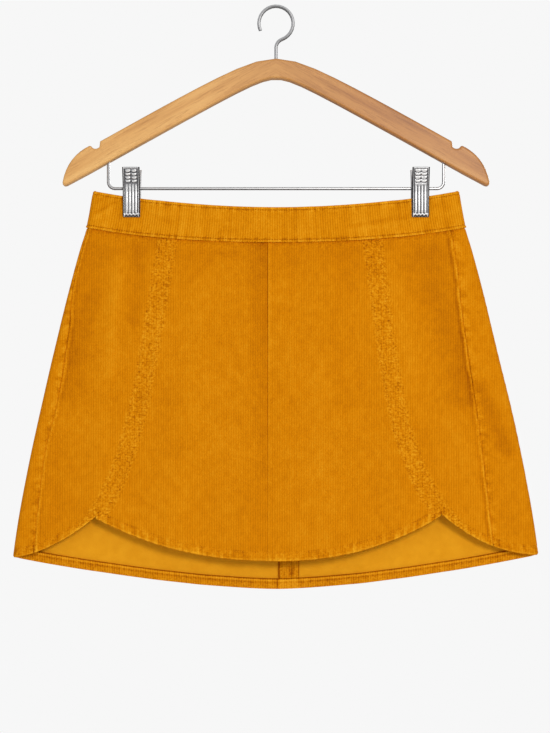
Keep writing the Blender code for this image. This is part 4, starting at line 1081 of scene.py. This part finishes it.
# ---------------------------------------------------------------- settings
class ClothSettings(bpy.types.PropertyGroup):
    """Sizes of the corduroy, its relief and its stitches."""
    wale_pitch: bpy.props.FloatProperty(
        name="Wale pitch", description="From one wale to the next", default=0.0025,
        min=0.0012, max=0.006, unit="LENGTH", subtype="DISTANCE")
    wale_height: bpy.props.FloatProperty(
        name="Wale height", description="Half the height of a wale", default=0.00013,
        min=0.0, max=0.001, unit="LENGTH", subtype="DISTANCE")
    softness: bpy.props.FloatProperty(
        name="Softness", description="Height of the broad unevenness of the cloth", default=0.00045,
        min=0.0, max=0.002, unit="LENGTH", subtype="DISTANCE")
    crinkle_height: bpy.props.FloatProperty(
        name="Crinkle height", description="Height of the puckers along the curved seams",
        default=CRINKLE_HEIGHT, min=0.0, max=0.002, unit="LENGTH", subtype="DISTANCE")
    row_step: bpy.props.FloatProperty(
        name="Row step", description="From one row of the mesh to the next on the front",
        default=0.0019, min=0.001, max=0.02, unit="LENGTH", subtype="DISTANCE")
    stitch_length: bpy.props.FloatProperty(
        name="Stitch length", description="From one stitch to the next", default=0.0027,
        min=0.001, max=0.006, unit="LENGTH", subtype="DISTANCE")
    thread_width: bpy.props.FloatProperty(
        name="Thread width", description="Width of a stitch's thread", default=0.0006,
        min=0.0002, max=0.002, unit="LENGTH", subtype="DISTANCE")


class HangerSettings(bpy.types.PropertyGroup):
    """Sizes of what is pressed and wound on the clips, and of the zip's teeth."""
    bump_height: bpy.props.FloatProperty(
        name="Bump height", description="Height of the bumps and flutes on a jaw", default=0.0008,
        min=0.0, max=0.002, unit="LENGTH", subtype="DISTANCE")
    spring_turns: bpy.props.IntProperty(
        name="Spring turns", description="Turns of wire in a clip's spring", default=8, min=3, max=12)
    tooth_spacing: bpy.props.FloatProperty(
        name="Tooth spacing", description="From one turn of the zip's coil to the next", default=0.0011,
        min=0.0006, max=0.003, unit="LENGTH", subtype="DISTANCE")


class StageSettings(bpy.types.PropertyGroup):
    """Light and floor."""
    key_energy: bpy.props.FloatProperty(
        name="Key light", description="Power of the soft light at the upper right", default=27.5,
        min=0.0, max=500.0, unit="POWER")
    floor_size: bpy.props.FloatProperty(
        name="Floor size", description="Width of the pale floor", default=6.6, min=2.0, max=20.0,
        unit="LENGTH", subtype="DISTANCE")


# ---------------------------------------------------------------- cloth pieces
SIDE_NAMES = {-1: "left", 1: "right"}
PANEL_KINDS = ("front_centre", "front_side", "back")


def panel_piece(kind, sign, cloth):
    """One panel of the body, from the waist seam to the hem."""
    on_back = kind == "back"
    name = f"{kind}_{SIDE_NAMES[sign]}"
    a, top, bottom = panel_columns(sign, kind, cloth.wale_pitch / 4)
    drop = row_drops(top, bottom, cloth.row_step * (1.5 if on_back else 1.0))
    heights = panel_relief(sign, on_back, a[None, :], drop, cloth)
    s = girth(sign, on_back, a, drop)
    upright = np.where(on_back & (np.abs(s) < 1.0), 2.0 * half_front(drop) - a, a)
    place = (upright, s)
    obj = grid_sheet("cloth_" + name, place, drop, heights, (0.0, -PANEL_WALL), cloth.wale_pitch,
                     (MATERIALS["body"], MATERIALS["reverse"]))
    return declare(obj, name)


def hem_piece(kind, sign, cloth):
    """The turned-up hem inside a panel, its pile facing inwards."""
    on_back = kind == "back"
    name = f"{kind}_{SIDE_NAMES[sign]}_hem"
    a, top, bottom = panel_columns(sign, kind, cloth.wale_pitch / 2)
    top = np.maximum(top, bottom - HEM_DEPTH)
    keep = bottom - top > SHORTEST_HEM
    a, top, bottom = a[keep], top[keep], bottom[keep]
    drop = row_drops(top, bottom, 0.0012)
    soft = panel_relief(sign, on_back, a[None, :], drop, cloth)[0]
    up, down = drop - top, bottom - drop
    fine = cloth.wale_height * np.cos(2 * math.pi * a / cloth.wale_pitch) * np.ones(drop.shape)
    fine += 0.0004 * bell(up - 0.0016, 0.0010) - 0.0008 * (1.0 - smooth(up / 0.0008))
    fine -= 0.0007 * (1.0 - smooth(down / 0.0012)) + 0.0003 * bell(up - 0.0022, 0.0006)
    # Painted light: painted shade in the groove along the top edge and below the puffed ridge, a painted
    # highlight on that ridge, and some uneven colour.
    painted_light_and_tone = 0.75 * bell(up - 0.0020, 0.0009) - 1.4 * bell(up, 0.0010) - 0.6 * bell(up - 0.0042, 0.0010)
    painted_light_and_tone = painted_light_and_tone + 0.5 * (noise(a / 0.0034, down / 0.0120 + 20, TURNED_HEM_SEED) - 0.5)
    # Beside the middle of the back the right-hand hem is lighter, and the seam gets a line of painted
    # shade.
    if on_back:
        beside = a - sign * CENTRE_BACK_X
        painted_light_and_tone = painted_light_and_tone + 0.45 * smooth((0.0240 - beside) / 0.0040) * (sign > 0) - 0.8 * bell(beside, 0.0012)
    near = PANEL_WALL + GAP
    place = (np.broadcast_to(a, drop.shape), girth(sign, on_back, a, drop))
    obj = grid_sheet("cloth_" + name, place, drop, (soft, fine, painted_light_and_tone, 0.5), (-near - HEM_WALL, -near),
                     cloth.wale_pitch, (MATERIALS["hem"], MATERIALS["reverse"]), facing=-1)
    return declare(obj, name)


def allowance_piece(sign, cloth):
    """A seam allowance pressed flat inside the back, on the right-hand side of its seam."""
    name = f"seam_allowance_{SIDE_NAMES[sign]}"
    start = sign * CENTRE_BACK_X + GAP / 2
    a = column_places(start, start + ALLOWANCE_WIDTH, cloth.wale_pitch / 2)
    top = waist_seam(girth(sign, True, a, 0.24)) + GAP
    if sign > 0:
        bottom = hem(sign, girth(sign, True, a, 0.60)) - HEM_DEPTH - GAP
    else:
        bottom = np.full(a.shape, ZIP_END_DROP)
    drop = row_drops(top, bottom, 0.0022)
    soft = panel_relief(sign, True, a[None, :], drop, cloth)[0]
    out = a - start
    wavy = noise(drop / 0.0060, out / 0.0060 + 20, WAVE_SEED) - 0.5
    fine = 0.0003 * np.cos(2 * math.pi * a / cloth.wale_pitch) * np.ones(drop.shape)
    fine += 0.0010 * wavy * smooth((out - 0.012) / 0.008) - 0.0006 * bell(out - 0.0115, 0.0009)
    fine -= 0.0005 * (1.0 - smooth(out / 0.0008))
    wavering_out = out + 0.0022 * (noise(drop / 0.0035, 30.5 + 0 * out, SHADE_WAVER_SEED) - 0.5)
    # Painted light and shade: lighter and darker with the waves, two wavering lines of painted shade along
    # its folds, the outer one broken up in places, and painted shade along its cut edge.
    painted_light_and_tone = 0.1 + 1.2 * wavy * smooth((out - 0.010) / 0.006)
    painted_light_and_tone -= 1.6 * bell(wavering_out - 0.0010, 0.0016) + 0.7 * bell(out - ALLOWANCE_WIDTH, 0.0012)
    painted_light_and_tone -= 2.2 * bell(wavering_out - 0.0150, 0.0022) * noise(drop / 0.0050, 40.5 + 0 * out, SHADE_BREAK_SEED)
    near = PANEL_WALL + GAP
    place = (np.broadcast_to(a, drop.shape), girth(sign, True, a, drop))
    obj = grid_sheet("cloth_" + name, place, drop, (soft, fine, painted_light_and_tone, 0.7), (-near - ALLOWANCE_WALL, -near),
                     cloth.wale_pitch, (MATERIALS["hem"], MATERIALS["reverse"]), facing=-1)
    return declare(obj, name)


def tape_piece(sign):
    """One woven tape of the zip."""
    name = f"zip_tape_{SIDE_NAMES[sign]}"
    start = sign * CENTRE_BACK_X + TAPE_SPLIT
    a = column_places(start, start + TAPE_WIDTH, TAPE_RIB / 2)
    top = np.full(a.shape, WAIST_TOP_DROP + ZIP_GAP)
    bottom = np.full(a.shape, ZIP_END_DROP)
    drop = row_drops(top, bottom, 0.0030)
    fine = 0.00012 * np.cos(2 * math.pi * a / TAPE_RIB) * np.ones(drop.shape)
    level = np.zeros(drop.shape)
    place = (np.broadcast_to(a, drop.shape), girth(sign, True, a, drop))
    obj = grid_sheet("cloth_" + name, place, drop, (level, fine, level, 0.0),
                     (-TAPE_INSET, -TAPE_INSET - TAPE_WALL), TAPE_RIB, (MATERIALS["tape"],))
    return declare(obj, name)


def band_place():
    """Girth positions of the waistband's columns and how far round it each one is."""
    full = half_front((WAIST_TOP_DROP + WAIST_SEAM_DROP) / 2)
    left = -2.0 * full - CENTRE_BACK_X + ZIP_GAP / 2
    right = 2.0 * full - CENTRE_BACK_X - ZIP_GAP / 2
    return left, right, full


def band_piece(cloth):
    """The waistband, one strip from one side of the zip round to the other."""
    left, right, full = band_place()
    step = cloth.wale_pitch / 4
    a = column_places(left, right, step)
    a = np.sort(np.concatenate((a[np.abs(np.abs(a) - full) > 0.4 * step], (-full, full))))
    s = a / full
    top, bottom = waist_top(s), waist_seam(s)
    drop = row_drops(top, bottom, 0.0015)
    heights = band_relief(s[None, :], a[None, :], drop, cloth)
    place = (np.broadcast_to(a, drop.shape), np.broadcast_to(s, drop.shape))
    obj = grid_sheet("cloth_waistband", place, drop, heights, (BAND_PROUD, BAND_PROUD - BAND_WALL),
                     cloth.wale_pitch, (MATERIALS["band"], MATERIALS["reverse"]))
    return declare(obj, "waistband")


def band_rows(cloth):
    """Stitching lines inside both edges of the waistband."""
    left, right, full = band_place()
    a = np.arange(left + 0.003, right - 0.003, STITCH_LINE_STEP)
    s = a / full
    lines = []
    for drop in (waist_top(s) + TOP_STITCH, waist_seam(s) - TOP_STITCH):
        soft, fine = band_relief(s, a, drop, cloth)[:2]
        lines.append(cloth_points(s, drop, BAND_PROUD + soft + fine + BAND_THREAD_LIFT))
    return lines


def curve_rows(cloth):
    """Double rows of stitching, one on each side of both curved seams."""
    lines = []
    for sign in SIDES:
        drop = np.arange(WAIST_SEAM_DROP - 0.012, SIDES[sign].notch_drop, STITCH_LINE_STEP)
        slope = curve_slope(sign, drop)
        for offset in (-CRINKLE_ROW, CRINKLE_ROW):
            a = curve_out(sign, drop) + offset * np.sqrt(1.0 + slope ** 2)
            s = girth(sign, False, a, drop)
            keep = (drop > waist_seam(s) + 0.0022) & (drop < hem(sign, s) - 0.0018)
            lines += line_on_panel(sign, False, a, drop, cloth, keep)
    return lines


def hem_rows(cloth):
    """One row of stitching above the hem, all round."""
    lines = []
    for sign in SIDES:
        for on_back, start in ((False, CENTRE_FRONT_X), (True, CENTRE_BACK_X)):
            full = float(half_front(SIDES[sign].corner_drop))
            a = np.arange(sign * start + 0.0006, full + 0.02, STITCH_LINE_STEP)
            drop = np.full(a.shape, 0.57)
            for _ in range(SETTLING_STEPS):
                drop = hem(sign, girth(sign, on_back, a, drop)) - HEM_STITCH
            limit = (side_out_from_back if on_back else side_out)(sign, drop) - 0.0012
            keep = a < limit
            if not on_back:
                away = a - curve_out(sign, drop)
                keep &= np.abs(away) > CRINKLE_ROW * 1.1
            lines += line_on_panel(sign, on_back, a, drop, cloth, keep)
    return lines


# ---------------------------------------------------------------- hard pieces
JAW_FACE = ((0.1670, 0.0128), (0.1705, 0.0118), (0.1790, 0.0090), (0.1860, 0.0071), (0.1920, 0.0065),
            (0.2030, 0.0067), (0.2110, 0.0062), (0.2155, 0.0055), (0.2178, 0.0048))
JAW_HALF = 0.0088
BUMP_DROPS = (0.1710, 0.1744, 0.1778, 0.1812)
BUMP_X = 0.0032
FLUTE_PITCH = 0.0032
LIP_DROP, SCALLOP = 0.2150, 0.0036
JAW_TOP_DROP, JAW_END_DROP = 0.1671, 0.2174
JAW_COLUMNS, JAW_ROWS = 61, 131
BAR_RADIUS = 0.0016
SPRING_RADIUS, SPRING_HALF, SPRING_WIRE = 0.00275, 0.0054, 0.0005
TURN_POINTS = 16


def jaw_relief(x, drop, ground):
    """What is pressed into a jaw's face, 0 to 1: rim, bumps on their ground, flutes, scalloped lip."""
    rim = 1.1 * bell(np.abs(x) - 0.0075, 0.0005) + 0.0 * drop
    total = np.maximum(rim, 0.90 * bell(drop - 0.1681, 0.0007) * (np.abs(x) < 0.0080))
    inner = smooth((0.0065 - np.abs(x)) / 0.0004)
    plain = ground * inner * smooth((drop - 0.1690) / 0.0004) * (1.0 - smooth((drop - 0.2122) / 0.0010))
    for row in BUMP_DROPS:
        for column in (-BUMP_X, BUMP_X):
            far = np.sqrt(((x - column) / 0.0028) ** 2 + ((drop - row) / 0.0014) ** 2)
            plain = plain * (1.0 - 1.0 * bell(far - 1.1, 0.26) * smooth((drop - row) / 0.0004 + 0.8))
            total = total + 0.85 * np.sqrt(np.maximum(1.0 - far ** 2, 0.0))
    window = smooth((drop - 0.1842) / 0.0012) * (1.0 - smooth((drop - 0.2130) / 0.0008)) * inner
    flutes = np.sqrt(np.abs(np.sin(math.pi * x / FLUTE_PITCH)))
    total = total + plain * (1.0 - window) + 0.85 * flutes * window
    wave = LIP_DROP + 0.0005 * np.cos(2 * math.pi * x / SCALLOP)
    return np.minimum(total + bell(drop - wave, 0.0011), 1.1)


def jaw_face(name, centre_x, facing, high, ground):
    """The pressed face of one jaw."""
    x = np.linspace(-JAW_HALF, JAW_HALF, JAW_COLUMNS)[None, :]
    end = JAW_END_DROP + 0.0004 * np.cos(2 * math.pi * x / SCALLOP)
    drop = lerp(JAW_TOP_DROP, end, np.linspace(0.0, 1.0, JAW_ROWS)[:, None])
    face_drops, face_ys = zip(*JAW_FACE)
    depth = np.interp(drop, face_drops, face_ys) + 0.00005
    pressed = jaw_relief(x, drop, ground)
    rounded = smooth((JAW_HALF - np.abs(x)) / 0.0006)
    proud = 0.0001 + (0.0001 + high * pressed) * rounded
    across = np.broadcast_to(centre_x + x, drop.shape)
    face = np.stack((across, facing * (depth + proud), -drop), axis=-1)
    back = np.stack((across, facing * depth, -drop), axis=-1)
    # Painted light: the face is painted bright where its relief stands high, dark in its hollows and darker
    # still along its rim, as painted highlights and shade.
    painted_rim_shade = 1.2 * bell(np.abs(x) - JAW_HALF, 0.0008)
    paint = {"painted_light_and_tone": 0.06 + 0.94 * np.minimum(pressed, 1.0) - painted_rim_shade}
    obj = closed_sheet(name, face, back, np.stack((across, drop), axis=-1), paint, (MATERIALS["pressed"],))
    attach(obj, "root")
    return obj


def spring_piece(name, centre_x, turns):
    """A wound wire spring round the bar, with a leg to each jaw."""
    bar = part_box("hanger_bar")[0].z + BAR_RADIUS
    left, right = centre_x - SPRING_HALF, centre_x + SPRING_HALF
    foot, tip = (0.0034, bar + 0.0016), (0.0060, bar + 0.0120)
    points = [(left, -tip[0], tip[1]), (left, -foot[0], foot[1])]
    steps = turns * TURN_POINTS
    for k in range(steps + 1):
        angle = math.pi * 0.8 + 2 * math.pi * k / TURN_POINTS
        points.append((lerp(left, right, k / steps),
                       SPRING_RADIUS * math.cos(angle), bar + SPRING_RADIUS * math.sin(angle)))
    points += [(right, *foot), (right, *tip)]
    obj = tube(name, points, SPRING_WIRE, MATERIALS["chrome"], sides=8)
    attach(obj, "root")
    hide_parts(name.replace("coil", "spring"))
    return obj


# ---------------------------------------------------------------- operators
class Maker:
    """What every operator of this add-on shares."""
    bl_options = {"REGISTER", "UNDO"}


class SKIRT_OT_waistband(Maker, bpy.types.Operator):
    """Makes the waistband"""
    bl_idname = "skirt.make_waistband"
    bl_label = "Waistband"

    def execute(self, context):
        band_piece(context.scene.skirt_cloth)
        return {"FINISHED"}


class SKIRT_OT_panels(Maker, bpy.types.Operator):
    """Makes the six panels of the body"""
    bl_idname = "skirt.make_panels"
    bl_label = "Panels"

    def execute(self, context):
        for kind in PANEL_KINDS:
            for sign in SIDES:
                panel_piece(kind, sign, context.scene.skirt_cloth)
        return {"FINISHED"}


class SKIRT_OT_hems(Maker, bpy.types.Operator):
    """Makes the turned-up hems and the pressed seam allowances"""
    bl_idname = "skirt.make_hems"
    bl_label = "Hems and Allowances"

    def execute(self, context):
        for sign in SIDES:
            for kind in PANEL_KINDS:
                hem_piece(kind, sign, context.scene.skirt_cloth)
            allowance_piece(sign, context.scene.skirt_cloth)
        return {"FINISHED"}


class SKIRT_OT_stitches(Maker, bpy.types.Operator):
    """Makes the rows of topstitching"""
    bl_idname = "skirt.make_stitches"
    bl_label = "Stitches"

    def execute(self, context):
        cloth = context.scene.skirt_cloth
        tree = repeat_group("Thread Stitches")
        sizes = {"Spacing": cloth.stitch_length, "Length": cloth.stitch_length * 0.72,
                 "Width": cloth.thread_width, "Height": cloth.thread_width * 0.8}
        for name, lines, thread, place in (
                ("stitches_waistband", band_rows(cloth), "thread", "corduroy_band"),
                ("stitches_curved_seams", curve_rows(cloth), "pale_thread", "corduroy"),
                ("stitches_hems", hem_rows(cloth), "pale_thread", "corduroy")):
            obj = repeated(name, lines, tree, MATERIALS[thread], **sizes)
            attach(obj, "root")
        return {"FINISHED"}


class SKIRT_OT_zip(Maker, bpy.types.Operator):
    """Makes the zip's tapes and teeth and finishes its slider and pull"""
    bl_idname = "skirt.make_zip"
    bl_label = "Zip"

    def execute(self, context):
        for sign in SIDES:
            tape_piece(sign)
        low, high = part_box("zip_chain")
        spacing = context.scene.skirt_hanger.tooth_spacing
        drop = np.arange(-high.z + spacing, -low.z - spacing, CHAIN_LINE_STEP)
        s = 2.0 - CENTRE_BACK_X / half_front(drop)
        line = cloth_points(s, drop, -CHAIN_INSET - CHAIN_WALL / 2)
        teeth = repeated("zip_teeth", [line], repeat_group("Zip Teeth"), MATERIALS["coil"],
                         Spacing=spacing, Length=spacing * 0.85, Width=2 * CHAIN_HALF,
                         Height=CHAIN_WALL, Unevenness=0.0)
        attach(teeth, "root")
        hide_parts("zip_chain")
        for name in ("zip_slider", "zip_pull"):
            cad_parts[name].material_slots[0].material = MATERIALS["zip_metal"]
        return {"FINISHED"}


class SKIRT_OT_hanger(Maker, bpy.types.Operator):
    """Finishes the hanger's wood and metal and makes its springs and pressed jaw faces"""
    bl_idname = "skirt.make_hanger"
    bl_label = "Hanger"

    def execute(self, context):
        hanger = context.scene.skirt_hanger
        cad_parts["hanger_wood"].material_slots[0].material = MATERIALS["wood"]
        for name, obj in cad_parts.items():
            if name.startswith("clip_") or name in ("hook", "hanger_bar"):
                obj.material_slots[0].material = MATERIALS["chrome"]
        # The left clip's ground is set lower than the right's and so painted darker: painted shade, as the
        # key light comes from the right.
        for side, centre_x, ground in (("left", -CLIP_X, 0.42), ("right", CLIP_X, 0.80)):
            spring_piece(f"clip_{side}_coil", centre_x, hanger.spring_turns)
            jaw_face(f"clip_{side}_front_face", centre_x, -1, hanger.bump_height, ground)
            jaw_face(f"clip_{side}_back_face", centre_x, 1, hanger.bump_height, ground)
        return {"FINISHED"}


class SKIRT_OT_stage(Maker, bpy.types.Operator):
    """Makes the floor, the lights and the camera"""
    bl_idname = "skirt.make_stage"
    bl_label = "Stage"

    def execute(self, context):
        make_stage(context.scene, context.scene.skirt_stage)
        return {"FINISHED"}


# ---------------------------------------------------------------- stage
FLOOR_Z = -1.65
CAMERA_PLACE = (-0.00104, -1.5, -0.37284)
CAMERA_LENS = 70.84
MIDDLE = (0.0, 0.0, -0.40)
# Each light's share is how strong it is beside the key light.
LIGHTS = tuple(Light(*row) for row in (
    ("key", (0.6, -2.2, 0.30), 0.6, 1.0, (1.0, 0.98, 0.95)),
    ("fill", (-1.9, -1.9, -0.1), 1.6, 0.25, (0.96, 0.98, 1.0)),
    ("back_fill", (1.7, 2.3, 0.5), 1.2, 1.1, (1.0, 0.99, 0.97)),
))


def area_light(light, key_energy):
    """A round soft light that points at the middle of the object."""
    data = bpy.data.lights.new(light.name, "AREA")
    data.shape = "DISK"
    data.size = light.size
    data.energy = key_energy * light.share
    data.color = light.colour
    obj = new_object(light.name, data)
    obj.location = light.place
    obj.rotation_euler = (Vector(MIDDLE) - Vector(light.place)).to_track_quat("-Z", "Y").to_euler()
    obj.visible_camera = False
    return obj


def make_world(scene):
    """White behind the object, and softer light with some dark in it all round."""
    world = bpy.data.worlds.new("Soft studio")
    world.use_nodes = True
    tree = world.node_tree
    tree.nodes.clear()
    seen = node(tree, "ShaderNodeBackground", {"Color": (0.93, 0.93, 0.93, 1.0), "Strength": 1.0})
    way = node(tree, "ShaderNodeTexCoord").outputs["Generated"]
    parts = node(tree, "ShaderNodeSeparateXYZ", {0: way})
    height = maths(tree, "MULTIPLY_ADD", parts.outputs[2], 0.5, 0.5)
    glow = ramp(tree, height, ((0.0, (0.26, 0.26, 0.26)), (0.45, (0.34, 0.34, 0.34)),
                               (0.62, (0.70, 0.70, 0.71)), (1.0, (1.0, 1.0, 1.0))))
    lit = node(tree, "ShaderNodeBackground", {"Color": glow, "Strength": 0.70})
    path = node(tree, "ShaderNodeLightPath")
    both = node(tree, "ShaderNodeMixShader", {0: path.outputs["Is Camera Ray"]})
    tree.links.new(lit.outputs[0], both.inputs[1])
    tree.links.new(seen.outputs[0], both.inputs[2])
    out = node(tree, "ShaderNodeOutputWorld", {"Surface": both.outputs[0]})
    out.is_active_output = True
    scene.world = world


def make_stage(scene, stage):
    """The floor, the lights, the camera and what is behind them."""
    half = stage.floor_size / 2
    mesh = bpy.data.meshes.new("floor")
    mesh.from_pydata([(-half, -half, FLOOR_Z), (half, -half, FLOOR_Z), (half, half, FLOOR_Z),
                      (-half, half, FLOOR_Z)], [], [(0, 1, 2, 3)])
    mesh.materials.append(floor_material())
    floor = new_object("floor", mesh)
    lights = [area_light(light, stage.key_energy) for light in LIGHTS]
    data = bpy.data.cameras.new("camera")
    data.lens = CAMERA_LENS
    data.sensor_width = 36.0
    data.clip_start, data.clip_end = 0.05, 50.0
    camera = new_object("camera", data)
    camera.location = CAMERA_PLACE
    camera.rotation_euler = (math.pi / 2, 0.0, 0.0)
    scene.camera = camera
    scene.view_settings.view_transform = "Standard"
    make_world(scene)


# ---------------------------------------------------------------- panel and registration
class SKIRT_PT_panel(bpy.types.Panel):
    """Settings and buttons in the 3D view's sidebar"""
    bl_label = "Skirt"
    bl_idname = "SKIRT_PT_panel"
    bl_space_type = "VIEW_3D"
    bl_region_type = "UI"
    bl_category = "Skirt"

    def draw(self, context):
        for settings in (context.scene.skirt_cloth, context.scene.skirt_hanger, context.scene.skirt_stage):
            box = self.layout.box()
            for name in settings.__annotations__:
                box.prop(settings, name)
        for operator in OPERATORS:
            self.layout.operator(operator.bl_idname)


SETTINGS = (("skirt_cloth", ClothSettings), ("skirt_hanger", HangerSettings),
            ("skirt_stage", StageSettings))
OPERATORS = (SKIRT_OT_waistband, SKIRT_OT_panels, SKIRT_OT_hems, SKIRT_OT_stitches, SKIRT_OT_zip,
             SKIRT_OT_hanger, SKIRT_OT_stage)


def register():
    for name, settings in SETTINGS:
        bpy.utils.register_class(settings)
        setattr(bpy.types.Scene, name, bpy.props.PointerProperty(type=settings))
    for operator in OPERATORS:
        bpy.utils.register_class(operator)
    bpy.utils.register_class(SKIRT_PT_panel)


def unregister():
    bpy.utils.unregister_class(SKIRT_PT_panel)
    for operator in reversed(OPERATORS):
        bpy.utils.unregister_class(operator)
    for name, settings in reversed(SETTINGS):
        delattr(bpy.types.Scene, name)
        bpy.utils.unregister_class(settings)


def main():
    register()
    make_materials()
    bpy.ops.skirt.make_waistband()
    bpy.ops.skirt.make_panels()
    bpy.ops.skirt.make_hems()
    bpy.ops.skirt.make_stitches()
    bpy.ops.skirt.make_zip()
    bpy.ops.skirt.make_hanger()
    bpy.ops.skirt.make_stage()


if __name__ == "__main__":
    main()
